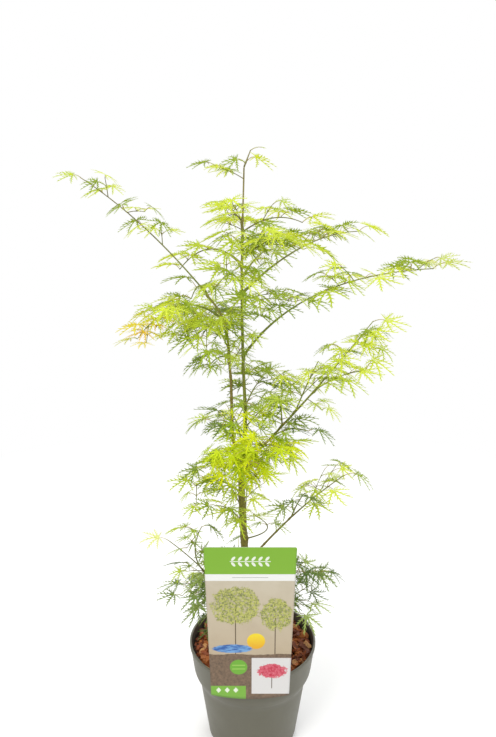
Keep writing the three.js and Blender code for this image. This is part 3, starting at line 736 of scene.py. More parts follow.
# %% Side twigs
SIDE_FORWARD = 0.9  # how far a side twig leans to the tip of its parent
SIDE_LENGTH = (0.85, 1.45)  # as a share of the parent's leaf
SIDE_LIFT = (-0.25, 0.45)
HANGING = 0.75  # the bright mass in front hangs down like a dome
SIDE_LEAF = (0.6, 0.82)  # as a share of the parent's leaf
SIDE_RADII = (0.62, 0.4)
SIDE_SHARES = ((0.55,), (0.42, 0.78))  # where a side twig's pairs stand, on a short and on a long one
LONG_SIDE = 1.15
BETWEEN = 0.5  # a further node halfway to the next pair
HUB_ROOM = 0.3  # least distance between two hubs, as a share of the leaf
REACH_ROOM = 1.0  # how far inside the model's box every leaf stays
SIDE_BOW = 0.05  # of the side twig's length
SIDE_CHANCE = 0.7  # that a twig of fineness one carries a side twig at a place
LEAF_MIDDLE = 0.4  # how far a leaf's middle is from its hub, as a share of its size
FINE_SEED = 4409
FINE_STEP = 131
SHOOT_STEP = 1000
FINE_TRIES = 5

OPENINGS = [  # gaps where the sky shows through: x and z of the middle, half the width and the height
    (24, 410, 26, 16), (113, 253, 14, 12), (88, 450, 24, 26), (135, 565, 16, 14), (-34, 359, 20, 16),
    (-68, 793, 18, 14), (137, 638, 16, 22), (-92, 746, 24, 13), (-91, 457, 20, 12), (3, 558, 14, 24),
    (19, 775, 16, 12), (-226, 866, 18, 12),
]

low_corner = np.array(cad_low) / MM + REACH_ROOM
high_corner = np.array(cad_high) / MM - REACH_ROOM
hubs = [leaf["hub"] for leaf in leaves]


def clear_of_limbs(ends, radius):
    """Whether rods keep clear of every bare limb and twig of the model."""
    apart = segment_distance(ends, rods.ends[:bare_rods])
    return bool((apart > radius[:, None] + rods.radius[None, :bare_rods]).all())


def inside(points):
    return bool((points > low_corner).all() and (points < high_corner).all())


def in_opening(point):
    """Whether a point is seen in one of the gaps. The sight line from the camera is followed to the upright
    plane through the stem, where y is nought, and a gap there is an ellipse."""
    eye = np.array(CAMERA_PLACE)
    x, _, z = eye + (point - eye) * eye[1] / (eye[1] - point[1])
    return any(((x - a) / wide) ** 2 + ((z - b) / high) ** 2 < 1 for a, b, wide, high in OPENINGS)


# %% Smaller leaves and the side twigs that carry them
def grow_fine_leaf(owner, node, heading, size, tint, roll):
    """A smaller leaf keeps clear of the limbs, the rim and the card, and its hub apart from other hubs."""
    for leaf, tips in tried_leaves(owner, node, heading, size, tint, FINE_TRIES, roll):
        hub = leaf["hub"]
        ends = np.stack([np.tile(hub, (len(tips), 1)), tips], axis=1)
        near = np.linalg.norm(np.array(hubs) - hub, axis=1).min() < HUB_ROOM * size
        middle = hub + leaf["axes"][0] * size * LEAF_MIDDLE
        if near or not inside(tips) or over_rim_or_card(ends) or in_opening(middle):
            continue
        if clear_of_limbs(ends, np.full(len(tips), STALK_RADIUS)):
            hubs.append(hub)
            leaves.append(leaf)
            return


def grow_side_twig(one, node, heading, roll):
    """A short twig with one or two pairs of leaves and a leaf at its end."""
    length = one["leaf"] * pick(roll, SIDE_LENGTH)
    way = unit(heading + UP * (pick(roll, SIDE_LIFT) - HANGING * (one["tint"] == "yellow")))
    line = bent_line(node, node + way * length, length * SIDE_BOW)
    if not inside(line.point(1)) or over_rim_or_card(line.points([0.5, 1])):
        return
    shares = SIDE_SHARES[int(length > LONG_SIDE * one["leaf"])]
    twigs.append({"line": line, "start": 0, "radii": SIDE_RADII, "nodes": shares})
    owner, tint = one["name"] + "_leaves", one["tint"]
    for share in shares:
        along = line.tangent(share)
        for hand in (-1, 1):
            size = one["leaf"] * pick(roll, SIDE_LEAF)
            heading = sideways(along, 0) * hand + along * FORWARD
            grow_fine_leaf(owner, line.point(share), heading, size, tint, roll)
    grow_fine_leaf(owner, line.point(TIP_ROOT), line.tangent(1), one["leaf"] * SIDE_LEAF[1], tint, roll)


def grow_fine(one, roll):
    """Side twigs from each pair's node and from halfway to the next, as often as the limb's fineness says."""
    line, start = limbs[one["name"]]["line"], limbs[one["name"]]["start"]
    for step in np.arange(0, one["pairs"], BETWEEN):
        share = pair_share(one, start, step)
        along = line.tangent(share)
        for hand in (-1, 1):
            if roll() < one["fine"] * SIDE_CHANCE:
                heading = sideways(along, int(step)) * hand + along * SIDE_FORWARD
                grow_side_twig(one, line.point(share), heading, roll)


# %% Shoots
def shoot(name, place, way, leaf=30, on=None):
    """A short leafy shoot of a limb. It leaves that limb at a share of its length, or the stem that on names
    at a height, in a direction, and carries leaves of a size."""
    return name, on or name, place, way, leaf


SHOOTS = [
    shoot("crown_tip", 834, (-1, -0.2, 0.35), leaf=31, on="trunk"),
    shoot("front_left", 534, (-0.5, -1, 0.3), leaf=34, on="trunk"),
    shoot("front_right", 526, (0.5, -1, 0.3), leaf=34, on="trunk"),
    shoot("front_left", 514, (-0.9, -1, 0.5), leaf=34, on="trunk"),
    shoot("front_right", 506, (0.9, -1, 0.5), leaf=34, on="trunk"),
    shoot("front_left", 496, (-0.2, -1, 0.6), leaf=36, on="trunk"),
    shoot("front_right", 484, (0.3, -1, 0.8), leaf=36, on="trunk"),
    shoot("left_reach", 0.35, (0, -0.5, 1)),
    shoot("left_pair", 616, (0.7, -0.6, 0.7), leaf=28, on="second_stem"),
    shoot("left_pair", 592, (-1, -0.6, 0), leaf=28, on="second_stem"),
    shoot("low_left", 0.93, (-0.7, -0.5, -0.7)),
    shoot("heart_right", 752, (0.7, -0.6, -0.7), leaf=28, on="trunk"),
    shoot("heart_front", 0.8, (1, -0.5, 0)),
    shoot("right_reach", 0.93, (0.7, -0.5, 0.7)),
    shoot("left_gold", 0.93, (-0.7, -0.5, -0.7)),
    shoot("left_reach", 0.8, (0, -0.5, 1)),
    shoot("low_left", 0.5, (-1, -0.5, 0)),
    shoot("low_right", 0.8, (-0.7, -0.5, 0.7)),
    shoot("right_reach", 0.65, (-0.7, -0.5, 0.7)),
    shoot("right_fan", 0.5, (0.7, -0.5, -0.7)),
    shoot("right_fan", 0.8, (-0.7, -0.5, 0.7)),
    shoot("upper_right", 0.35, (0.7, -0.5, 0.7)),
    shoot("right_fan_inner", 0.35, (0, -0.5, -1)),
    shoot("heart_front", 0.65, (0, -0.5, 1)),
    shoot("low_left", 0.93, (-0.7, -0.5, 0.7)),
    shoot("heart_front", 0.8, (-0.7, -0.5, -0.7)),
    shoot("left_reach", 0.65, (1, -0.5, 0)),
    shoot("heart_low_right", 616, (-0.3, -1, -0.1), leaf=26, on="trunk"),
    shoot("right_reach", 0.58, (-0.7, -0.5, 0.7)),
    shoot("right_fan", 0.86, (1, -0.5, 0)),
    shoot("low_left_upper", 0.97, (0, -0.5, -1)),
    shoot("skirt_left_low", 0.97, (0, -0.5, -1)),
    shoot("low_left_upper", 0.28, (0.7, -0.5, -0.7)),
    shoot("left_gold", 0.96, (-0.1, -0.5, -0.8), leaf=26),
    shoot("left_gold", 0.8, (-0.3, 0.6, -0.7), leaf=28),
    shoot("skirt_right", 0.7, (0.4, -0.6, 0.8), leaf=34),
    shoot("skirt_right", 0.95, (0.9, -0.4, -0.1)),
    shoot("crown_tip", 0.5, (0.7, -0.5, 0.5), leaf=26),
    shoot("skirt_left", 0.9, (-0.7, -0.6, -0.3), leaf=34),
    shoot("skirt_left", 0.6, (-0.5, -0.6, 0.6), leaf=34),
    shoot("skirt_left_low", 0.75, (-0.2, -0.7, -0.7), leaf=34, on="skirt_left"),
]


# %% Growing the finer twigs
for name, stem, place, way, leaf in SHOOTS:
    roll = dice(FINE_SEED + round(SHOOT_STEP * place))
    line = limbs[stem]["line"]
    node = line.point(share_at_height(line, place) if place > 1 else place)
    one = next(one for one in LIMBS if one["name"] == name)
    grow_side_twig({**one, "leaf": leaf}, node, unit(np.array(way)), roll)

for index, one in enumerate(LIMBS):
    made = limbs[one["name"]]
    nodes = [pair_share(one, made["start"], pair) for pair in range(one["pairs"])]
    twigs.append({"line": made["line"], "start": made["start"], "radii": (TWIG_RADIUS, TWIG_TIP_RADIUS),
                  "nodes": nodes})
    grow_fine(one, dice(FINE_SEED + FINE_STEP * (index + 1)))
print("with its finer twigs the plant has", len(leaves), "leaves on", len(twigs), "twigs")

# %% [markdown]
# ## Round limbs
# Stems, twigs and stalks are all tubes: a circle carried along a line, with a radius that changes on the way.
# The circle is set square to the line by two directions, one across it and one across both.

# %% Tubes
def tubes(centres, radii, sides, relief=None):
    """Rings round each point of each line. centres is lines by rings by 3, radii lines by rings. relief adds
    to the radius for each ring and side. Gives the points and the faces."""
    count, rings = centres.shape[:2]
    along = unit(np.gradient(centres, axis=1))
    upright = abs(along.mean(axis=1)[:, 2]) > UPRIGHT
    reference = np.where(upright[:, None], AWAY, UP)[:, None]
    side = unit(np.cross(reference, along))
    over = np.cross(along, side)
    angle = np.linspace(0, 2 * math.pi, sides, endpoint=False)
    radius = radii[:, :, None] + (0 if relief is None else relief)
    ring = (side[:, :, None] * np.cos(angle)[None, None, :, None]
            + over[:, :, None] * np.sin(angle)[None, None, :, None])
    points = (centres[:, :, None] + radius[..., None] * ring).reshape(count, -1, 3)
    points = np.concatenate([points, centres[:, :1], centres[:, -1:]], axis=1)
    faces = [repeated(part, points.shape[1], count) for part in capped_faces(rings, sides)]
    return points, faces


# %% [markdown]
# ## Bark
# Young maple bark is thin and smooth, green in the light and brown near the ground, with fine lengthwise
# lines, pale dots through which it breathes, and a ring wherever a pair of leaves once stood. The lines and
# rings are real relief in the mesh. The dots and the change of colour are in the material.

# %% The bark's material
def bark_material(name, stops, dots):
    """Bark whose colour climbs with height through the stops, darkened by streaks and dotted with pores."""
    paint = Paint(name)
    place = paint.place()
    height = (paint.axes(place)[2] - SOIL_Z * MM) / ((TRUNK_LINE[-1][2] - SOIL_Z) * MM)
    wander = paint.noise(place, 30) * 0.16 - 0.08
    base = paint.node("ShaderNodeValToRGB", {"stops": stops}, {"Fac": (height + wander).clamped()})
    streaks = paint.noise(paint.stretched(place, (1, 1, 0.12)), 1.6, detail=4)
    base = paint.blend((streaks * 1.7 - 0.55).clamped() * 0.5, base, colour(70, 62, 34))
    cells = paint.node("ShaderNodeTexVoronoi", {}, {"Vector": paint.stretched(place, (1, 1, 0.55)),
                                                    "Scale": 1 / (3.4 * MM)})
    pores = (1 - cells * 5).clamped() * dots
    base = paint.blend(pores, base, colour(190, 182, 140))
    return paint.finish(base, 0.52 + streaks * 0.3, paint.bump(streaks * 0.7 + pores, 0.25, 0.6))


stem_bark = bark_material("stem_bark", [
    (0.0, colour(106, 88, 52)), (0.16, colour(116, 100, 46)), (0.42, colour(124, 122, 36)),
    (0.75, colour(118, 132, 32)), (0.93, colour(138, 128, 72)),
], 0.45)
brown_bark = bark_material("brown_bark", [
    (0.4, colour(128, 112, 44)), (0.6, colour(124, 112, 42)), (0.78, colour(128, 130, 48)),
], 0.45)
twig_bark = bark_material("twig_bark", [
    (0.0, colour(110, 104, 54)), (0.4, colour(124, 128, 48)), (0.75, colour(132, 146, 46)),
    (0.95, colour(130, 124, 74)),
], 0.2)

# %% Relief of the bark
RELIEF_SEED = 71
SLIM = 0.86  # the bark of the upper stems and boughs, against the model's round rods
WAVES = 9
NODE_RING = 0.35  # how far a ring of bark stands out
NODE_WIDTH = 1.5
COLLAR = 1.3  # how far the bark swells under a limb
COLLAR_WIDTH = 6
SLIMMING = 60  # how far below and above the fork the trunk grows slimmer
PLACES = 400  # at which a stem is looked at for the limb that leaves it
LIMB_START = 0.05  # the share of a limb at which its direction is read


def fine_lines(angle, along, depth, seed):
    """Lengthwise lines: waves round the stem of many counts, each of which drifts slowly along it."""
    chance = np.random.default_rng(seed)
    counts = chance.integers(3, 17, WAVES)
    phase = chance.uniform(0, 2 * math.pi, WAVES)
    drift = chance.uniform(-0.05, 0.05, WAVES)
    wave = sum(np.cos(n * angle + p + d * along) * (0.6 + 0.4 * np.sin(0.11 * along + p))
               for n, p, d in zip(counts, phase, drift))
    return depth * wave / math.sqrt(WAVES)


def stem_piece(name, line, shares, radius_at, sides, depth, rings_at, swells, seed, bark=stem_bark):
    """A stem: a tube with lengthwise lines, a ring at each old bud, and a swelling under each limb, as bumps
    that fall off with the square of the distance."""
    centres = line.points(shares)
    along = shares * line.length
    angle = np.linspace(0, 2 * math.pi, sides, endpoint=False)
    relief = fine_lines(angle[None], along[:, None], depth, seed)
    for place in rings_at:
        relief = relief + NODE_RING * np.exp(-((along[:, None] - place) / NODE_WIDTH) ** 2)
    for place, turn in swells:
        near = np.exp(-((along[:, None] - place) / COLLAR_WIDTH) ** 2)
        relief = relief + COLLAR * near * np.maximum(0, np.cos(angle[None] - turn)) ** 2
    points, faces = tubes(centres[None], radius_at(centres, shares)[None], sides, relief[None])
    return piece_of(name, points, faces, [bark])


# %% Where limbs leave a stem
def turn_round(line, share, toward):
    """The angle round a stem at which a limb leaves it, in the frame that the tube's rings use."""
    along = line.tangent(share)
    reference = AWAY if abs(along[2]) > UPRIGHT else UP
    side = unit(np.cross(reference, along))
    over = np.cross(along, side)
    return math.atan2(toward @ over, toward @ side)


def swells_on(name):
    """Where limbs leave a stem or bough: how far along it, and on which side."""
    line, found = limbs[name]["line"], []
    for one in LIMBS:
        if one["on"] == name and one["at"] != "tip":
            foot = limbs[one["name"]]["line"].point(0)
            shares = np.linspace(0, 1, PLACES)
            share = shares[np.linalg.norm(line.points(shares) - foot, axis=1).argmin()]
            toward = limbs[one["name"]]["line"].tangent(LIMB_START)
            found.append((share * line.length, turn_round(line, share, toward)))
    return found


def bark_radius(height):
    """The trunk's radius, as the model has it below the fork, and slimmer by degrees above it."""
    return trunk_radius(height) * mix(1, SLIM, np.clip((height - FORK_Z + SLIMMING) / (2 * SLIMMING), 0, 1))


# %% The two stems
TRUNK_BUDS = np.arange(60, 700, 43.0)  # old buds, as distances along the stem
SECOND_BUDS = np.arange(24, 270, 31.0)
TRUNK_RINGS, TRUNK_SIDES, TRUNK_LINES = 720, 40, 0.16  # the last is how deep the bark's lines are
SECOND_RINGS, SECOND_SIDES, SECOND_LINES = 300, 24, 0.1

trunk_rings = [place + 3 for place, _ in swells_on("trunk")] + list(TRUNK_BUDS)
trunk_bark = stem_piece(
    "trunk_bark", trunk_line, np.linspace(0, 1, TRUNK_RINGS),
    lambda centres, shares: bark_radius(centres[:, 2]),
    TRUNK_SIDES, TRUNK_LINES, trunk_rings, swells_on("trunk"), RELIEF_SEED)
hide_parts("trunk")

second_rings = [place + 2 for place, _ in swells_on("second_stem")] + list(SECOND_BUDS)
second_bark = stem_piece(
    "second_stem_bark", second_line, np.linspace(0, 1, SECOND_RINGS),
    lambda centres, shares: SLIM * mix(SECOND_STEM_RADIUS, SECOND_STEM_TIP_RADIUS, shares),
    SECOND_SIDES, SECOND_LINES, second_rings, swells_on("second_stem"), RELIEF_SEED + 1, brown_bark)
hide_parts("second_stem")
print("the trunk's bark has", len(trunk_bark.data.polygons), "faces")

# %% The boughs
BOUGH_ROOT = 0.9  # extra radius where a bough leaves its stem
FORKED_ROOT = 0.4  # the share of it where a bough leaves another bough
ROOT_FADE = 5.0
BOUGH_BUDS = (17.0, 27.0)  # where a bough's first ring is, and how far it is to the next
BOUGH_OVERLAP = 2  # how far a bough's bark runs on over its twig
BOUGH_RINGS, BOUGH_SIDES, BOUGH_LINES = 140, 16, 0.06

for number, one in enumerate(LIMBS):
    if not one["bough"]:
        continue
    line, end = limbs[one["name"]]["line"], one["bough"]
    root = BOUGH_ROOT * (1 if one["on"] in ("trunk", "second_stem") else FORKED_ROOT)
    along = np.linspace(0, end + BOUGH_OVERLAP / line.length, BOUGH_RINGS)

    def bough_radius(centres, shares):
        taper = SLIM * mix(BOUGH_RADIUS, BOUGH_TIP_RADIUS, shares / end)
        return taper + root * np.exp(-shares * line.length / ROOT_FADE)
    rings = np.arange(BOUGH_BUDS[0], end * line.length, BOUGH_BUDS[1])
    bough = stem_piece(one["name"] + "_bark", line, along, bough_radius, BOUGH_SIDES, BOUGH_LINES, rings,
                       swells_on(one["name"]), RELIEF_SEED + 2 + number)
    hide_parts(one["name"])

# %% Twigs
TWIG_SIDES, TWIG_RINGS = 6, 15
BUD = 0.3  # swelling at a node
BUD_WIDTH = 1.6

lines, radii = [], []
for twig in twigs:
    shares = np.linspace(twig["start"], 1, TWIG_RINGS)
    near = (shares[:, None] - np.array(twig["nodes"])[None]) * twig["line"].length / BUD_WIDTH
    lines.append(twig["line"].points(shares))
    taper = mix(*twig["radii"], (shares - twig["start"]) / (1 - twig["start"]))
    radii.append(taper + BUD * np.exp(-near ** 2).max(axis=1))
points, faces = tubes(np.array(lines), np.array(radii), TWIG_SIDES)
twig_piece = piece_of("twigs", points, faces, [twig_bark])
print("the twigs have", len(twig_piece.data.polygons), "faces")

# %% Stalks
STALK_SIDES, STALK_RINGS = 4, 5
STALK_BOW = 0.06
STALK_RADII = (0.55, 0.34)

stalk_paint = Paint("leaf_stalk")
stalk_tone = stalk_paint.noise(stalk_paint.place(), 9)
stalk_colour = stalk_paint.mottled(stalk_tone, 2, 0.5, colour(164, 178, 84), colour(172, 128, 92))
stalk_material = stalk_paint.finish(stalk_colour, 0.45 + stalk_tone * 0.2)

roots = np.array([leaf["root"] for leaf in leaves])
centres = np.array([leaf["hub"] for leaf in leaves])
sizes = np.array([leaf["size"] for leaf in leaves])
share = np.linspace(0, 1, STALK_RINGS)[None, :, None]
stalk_lines = mix(roots[:, None], centres[:, None], share)
stalk_lines = stalk_lines + UP * (sizes[:, None, None] * STALK_BOW * 4 * share * (1 - share))
stalk_radii = mix(*STALK_RADII, share[..., 0]) * np.ones((len(leaves), 1))
points, faces = tubes(stalk_lines, stalk_radii, STALK_SIDES)
piece_of("leaf_stalks", points, faces, [stalk_material])

# %% [markdown]
# ## The leaf
# The leaf of a lace-leaved maple is a hand of seven narrow lobes, and each lobe is cut again almost to its
# midrib into slender, forward-pointing teeth. One lobe is a ribbon: a grid of three rows, the midrib and the
# two edges, with three columns for each tooth. The middle column runs out to the tooth's tip, and the two
# beside it stay near the midrib, so that the tooth has a narrow root. The two sides are slid along a little
# against each other.

# %% One lobe
TEETH = 5
TOOTH_LENGTH = 0.25  # of the lobe
TOOTH_PLACES = (0.17, 0.88)  # of the first and the last tooth along the lobe
TOOTH_SWING = 0.12  # radians that a tooth may turn to either side
TOOTH_ROOT = 0.036  # half the width of a tooth where it leaves the midrib
TOOTH_ANGLES = (46, 24)  # degrees from the midrib, at the lobe's foot and at its tip
BLADE_WIDTH = (0.046, 0.014)  # of the midrib's narrow blade
TOOTH_VARIETY = 0.25
LOBE_CURVE = 0.2  # radians that a lobe may bend sideways over its length
VARIANTS = 12
LEAF_SEED = 905


def lobe_ribbons(chance, count):
    """Lobes of length one along +X. A tooth's tip stands off its column by its length, at its angle to the
    midrib, and its length swells and shrinks along the lobe like half a sine wave."""
    root = np.linspace(*TOOTH_PLACES, TEETH)
    middle = root[:, None] + np.array([-1, 0, 1]) * TOOTH_ROOT
    x = np.concatenate([[0], middle.ravel(), [1]])
    peak = np.arange(len(x)) % 3 == 2
    peak[-1] = False
    inner = (x > 0) & (x < 1)
    size = TOOTH_LENGTH * np.sin(math.pi * x ** 0.75) ** 0.7
    angle = np.radians(mix(*TOOTH_ANGLES, x))
    slide = (root[1] - root[0]) / 4
    rows = []
    for side in (-1, 0, 1):
        tooth = peak * abs(side)
        length = size * chance.uniform(1 - TOOTH_VARIETY, 1 + TOOTH_VARIETY, (count, len(x))) * tooth
        turn = angle + chance.uniform(-TOOTH_SWING, TOOTH_SWING, (count, len(x)))
        out = np.where(tooth > 0, length * np.sin(turn), mix(*BLADE_WIDTH, x) * inner) * side
        rows.append(np.stack([x + slide * side * inner + length * np.cos(turn), out], axis=-1))
    return np.stack(rows, axis=2)


# %% Whole leaves
def leaf_shapes(chance):
    """Whole leaves of length one, as far as their plane: each lobe is shrunk to its reach, turned to its own
    angle about the hub, and bent sideways with the square of the distance. Also gives the unturned lobes."""
    lobes = lobe_ribbons(chance, VARIANTS * len(LOBE_TURNS))
    lobes = lobes.reshape(VARIANTS, len(LOBE_TURNS), *lobes.shape[1:])
    curve = chance.uniform(-LOBE_CURVE, LOBE_CURVE, (VARIANTS, len(LOBE_TURNS)))[..., None, None]
    x, y = lobes[..., 0], lobes[..., 1]
    turn = LOBE_TURNS[None, :, None, None] + curve * x ** 2
    reach = LOBE_REACHES[None, :, None, None]
    flat = np.stack([x * np.cos(turn) - y * np.sin(turn), x * np.sin(turn) + y * np.cos(turn)], axis=-1)
    return flat * reach[..., None], lobes


chance = np.random.default_rng(LEAF_SEED)
shapes, flat_lobes = leaf_shapes(chance)
LOBE_COLUMNS = shapes.shape[2]
lobe_faces = grid_faces(LOBE_COLUMNS, 3)
leaf_faces = repeated(lobe_faces, LOBE_COLUMNS * 3, len(LOBE_TURNS))
print("a lobe has", len(lobe_faces), "faces and a leaf", len(leaf_faces))

# %% [markdown]
# ## Dealing out the tints
# On the real plant the light decides the colour: sunlit leaves are lime or yellow, the newest at the tips are
# pale, and those that grew in shade are a deep grey green. Each limb has its own tint, and each leaf is dealt
# one of the two or three shades of it. Leaves are thin, so part of the light shines through them.

# %% Leaf materials
TINTS = {
    "lime": [(0.42, (216, 232, 82)), (0.36, (194, 214, 66)), (0.22, (154, 178, 54))],
    "yellow": [(0.5, (226, 238, 34)), (0.34, (204, 224, 32)), (0.16, (158, 186, 32))],
    "gold": [(0.4, (228, 220, 62)), (0.34, (206, 212, 54)), (0.26, (238, 206, 60))],
    "pale": [(0.6, (224, 232, 158)), (0.4, (204, 220, 122))],
    "green": [(0.36, (194, 214, 82)), (0.38, (168, 192, 70)), (0.26, (132, 156, 56))],
    "dark": [(0.3, (162, 184, 106)), (0.45, (130, 154, 86)), (0.25, (98, 124, 62))],
}
THROUGH = 0.45  # share of the light that shines through a leaf
THROUGH_TINT = (1.22, 1.1, 0.6)
RIB_WIDTH = 0.014
TIP_GAIN = (0.5, 0.5, 0.4)  # what is left of the colour at a lobe's tip, in red, green and blue
CLOUD_GAIN = 0.76  # what is left of it in the darker clouds
RIB_GAIN, RIB_LIFT = 1.3, 0.03


def leaf_material(name, shade):
    """A leaf: clouded a little, deeper towards the tips of its lobes and teeth, with a pale rib along each
    lobe, and lit from behind."""
    base = colour(*shade)
    deeper = (*[part * CLOUD_GAIN for part in base[:3]], 1.0)
    tipped = (*[part * gain for part, gain in zip(base[:3], TIP_GAIN)], 1.0)
    paler = (*[min(part * RIB_GAIN + RIB_LIFT, 1) for part in base[:3]], 1.0)
    glow = (*[min(part * gain, 1) for part, gain in zip(base[:3], THROUGH_TINT)], 1.0)
    paint = Paint(name)
    clouds = paint.noise(paint.place(), 7, detail=4)
    blade = paint.mottled(clouds, 2.2, 0.6, base, deeper)
    along, across, _ = paint.axes(paint.node("ShaderNodeTexCoord", output="UV"))
    aside = abs(across - 0.5)
    blade = paint.blend((along + aside * 2.5 - 0.5).clamped() * 0.8, blade, tipped)
    rib = (1 - aside / RIB_WIDTH).clamped()
    blade = paint.blend(rib * 0.4, blade, paler)
    veins = paint.bump(rib + clouds * 0.5, 0.12, 0.5)
    return paint.finish(blade, 0.42 + clouds * 0.2, veins, specular=0.35, through=(THROUGH, glow))


# %% The leaves of one shade
FOLD = (0.25, 0.85)  # how far the teeth rise from the midrib


def leaf_points(group, chance):
    """Every point of a group of leaves. In its plane a leaf is one of the shapes. Over its plane it rises
    with the distance from the midrib, by the fold, and sinks with the square of the distance from the hub.
    A leaf that would reach out of the model's box is shrunk about its hub until it fits."""
    shape = chance.integers(0, VARIANTS, len(group))
    flat = shapes[shape].reshape(len(group), -1, 2)
    side = abs(flat_lobes[shape][..., 1]).reshape(len(group), -1)
    fold = chance.uniform(*FOLD, (len(group), 1))
    droop = np.array([leaf["droop"] for leaf in group])[:, None]
    rise = side * fold - droop * (flat ** 2).sum(-1)
    local = np.concatenate([flat, rise[..., None]], axis=-1)
    axes = np.array([leaf["axes"] for leaf in group])
    hub = np.array([leaf["hub"] for leaf in group])[:, None]
    size = np.array([leaf["size"] for leaf in group])[:, None, None]
    spread = size * np.einsum("nvk,nkd->nvd", local, axes)
    over = (high_corner - hub[:, 0]) / spread.max(axis=1)
    under = (low_corner - hub[:, 0]) / spread.min(axis=1)
    fit = np.minimum(over, under).min(axis=1)
    return hub + spread * np.minimum(1, fit)[:, None, None]


def leaf_piece(name, group, material, chance):
    """One joined mesh of a group of leaves, whose surface coordinates run along and across each lobe."""
    points = leaf_points(group, chance)
    faces = [repeated(leaf_faces, points.shape[1], len(group))]
    one = flat_lobes[0].reshape(-1, 2) + (0, 0.5)
    uv = np.tile(one, (len(group), 1))
    return piece_of(name, points, faces, [material], uv=uv, smooth=False)


# %% Where the light reaches
BRIGHT_HALF = 56  # half the width of the bright mass in front
GOLD_INNER, GOLD_TOP = -112, 668  # the gold tip lies beyond and below these
PALE_OUTER = 205  # beyond it the right reach is pale
PALE_INNER = -112  # within it the low left sprays are not


def lit_tint(leaf):
    """The tint of a leaf by its place: fringes and inner leaves go back to plain green."""
    x, _, z = leaf["hub"]
    if leaf["tint"] == "yellow" and abs(x) > BRIGHT_HALF:
        return "green"
    if leaf["tint"] == "gold" and (x > GOLD_INNER or z > GOLD_TOP):
        return "lime"
    if leaf["tint"] == "pale" and x > PALE_INNER:
        return "dark"
    if leaf["owner"] == "right_reach_leaves" and x > PALE_OUTER:
        return "pale"
    return leaf["tint"]


# %% Deal and build
MOST_LEAVES = 520  # in one piece
chance = np.random.default_rng(LEAF_SEED + 1)
faces_in_all = 0
for tint, shades in TINTS.items():
    group = [leaf for leaf in leaves if lit_tint(leaf) == tint]
    dealt = chance.choice(len(shades), len(group), p=[share for share, _ in shades])
    stands_for = sorted({leaf["owner"] for leaf in leaves if leaf["tint"] == tint})
    for number, (_, shade) in enumerate(shades):
        material = leaf_material(f"leaf_{tint}_{number + 1}", shade)
        mine = [leaf for leaf, shade_number in zip(group, dealt) if shade_number == number]
        for part in range(0, len(mine), MOST_LEAVES):
            name = f"leaves_{tint}_{number + 1}" + (f"_{part // MOST_LEAVES}" if part else "")
            piece = leaf_piece(name, mine[part:part + MOST_LEAVES], material, chance)
            faces_in_all += len(piece.data.polygons)
            if number == 0 and part == 0:
                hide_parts(*stands_for)
print("all leaves together have", 2 * faces_in_all, "triangles")

# %% [markdown]
# ## The pot
# A nursery pot is blown or moulded as one thin shell of revolution. It is drawn as a profile of corners, each
# rounded by its own small arc, from the middle of the underside out, up the outside, over the lip, and down
# the inside. Turned about the upright axis, the profile becomes the whole closed wall. Six holes are then cut
# through the floor.

# %% Turning a profile
POT_TURNS = 144
POLE_RADIUS = 6  # of the ring round the floor's middle
COLLAR_RADIUS, COLLAR_FOOT_Z = 88.6, 112
WAIST_RADIUS, WAIST_Z = 80.9, 99
FOOT_RADIUS = 67.5
WALL, FLOOR = 1.8, 2.4
LIP_DEPTH, LIP_STEP = 5, 1.2
DRAIN_HOLES, DRAIN_RADIUS, DRAIN_RING = 6, 5, 50
ARC_POINTS = 7


def rounded(corners):
    """A profile whose corners are cut by quadratic arcs. Each corner is a radius, a height, and how far from
    it the arc starts."""
    points = [np.array(corners[0][:2], float)[None]]
    t = np.linspace(0, 1, ARC_POINTS)[:, None]
    for before, here, after in zip(corners, corners[1:], corners[2:]):
        corner = np.array(here[:2], float)
        start = corner + unit(np.array(before[:2]) - corner) * here[2]
        end = corner + unit(np.array(after[:2]) - corner) * here[2]
        points.append((1 - t) ** 2 * start + 2 * (1 - t) * t * corner + t ** 2 * end)
    points.append(np.array(corners[-1][:2], float)[None])
    return np.concatenate(points)


def turned(profile, sides):
    """A profile of radii and heights carried round +Z. Its two ends are closed by fans on the axis."""
    angle = np.linspace(0, 2 * math.pi, sides, endpoint=False)
    radius, height = profile[:, 0, None], profile[:, 1, None]
    rings = np.stack([radius * np.cos(angle), radius * np.sin(angle), height + 0 * angle], axis=-1)
    poles = [[0, 0, profile[0, 1]], [0, 0, profile[-1, 1]]]
    return np.concatenate([rings.reshape(-1, 3), poles]), capped_faces(len(profile), sides)


# %% The pot's wall
pot_corners = [
    (POLE_RADIUS, 0, 0), (FOOT_RADIUS, 0, 3.5), (WAIST_RADIUS, WAIST_Z, 7),
    (COLLAR_RADIUS, COLLAR_FOOT_Z, 7.5), (RIM_RADIUS - LIP_STEP, POT_HEIGHT - LIP_DEPTH, 0.4),
    (RIM_RADIUS, POT_HEIGHT - LIP_DEPTH, 0.5), (RIM_RADIUS, POT_HEIGHT, 1.1),
    (RIM_RADIUS - LIP_STEP - WALL, POT_HEIGHT, 1.1), (COLLAR_RADIUS - WALL, COLLAR_FOOT_Z, 7),
    (WAIST_RADIUS - WALL, WAIST_Z, 7), (FOOT_RADIUS - WALL, FLOOR, 1.6), (POLE_RADIUS, FLOOR, 0),
]


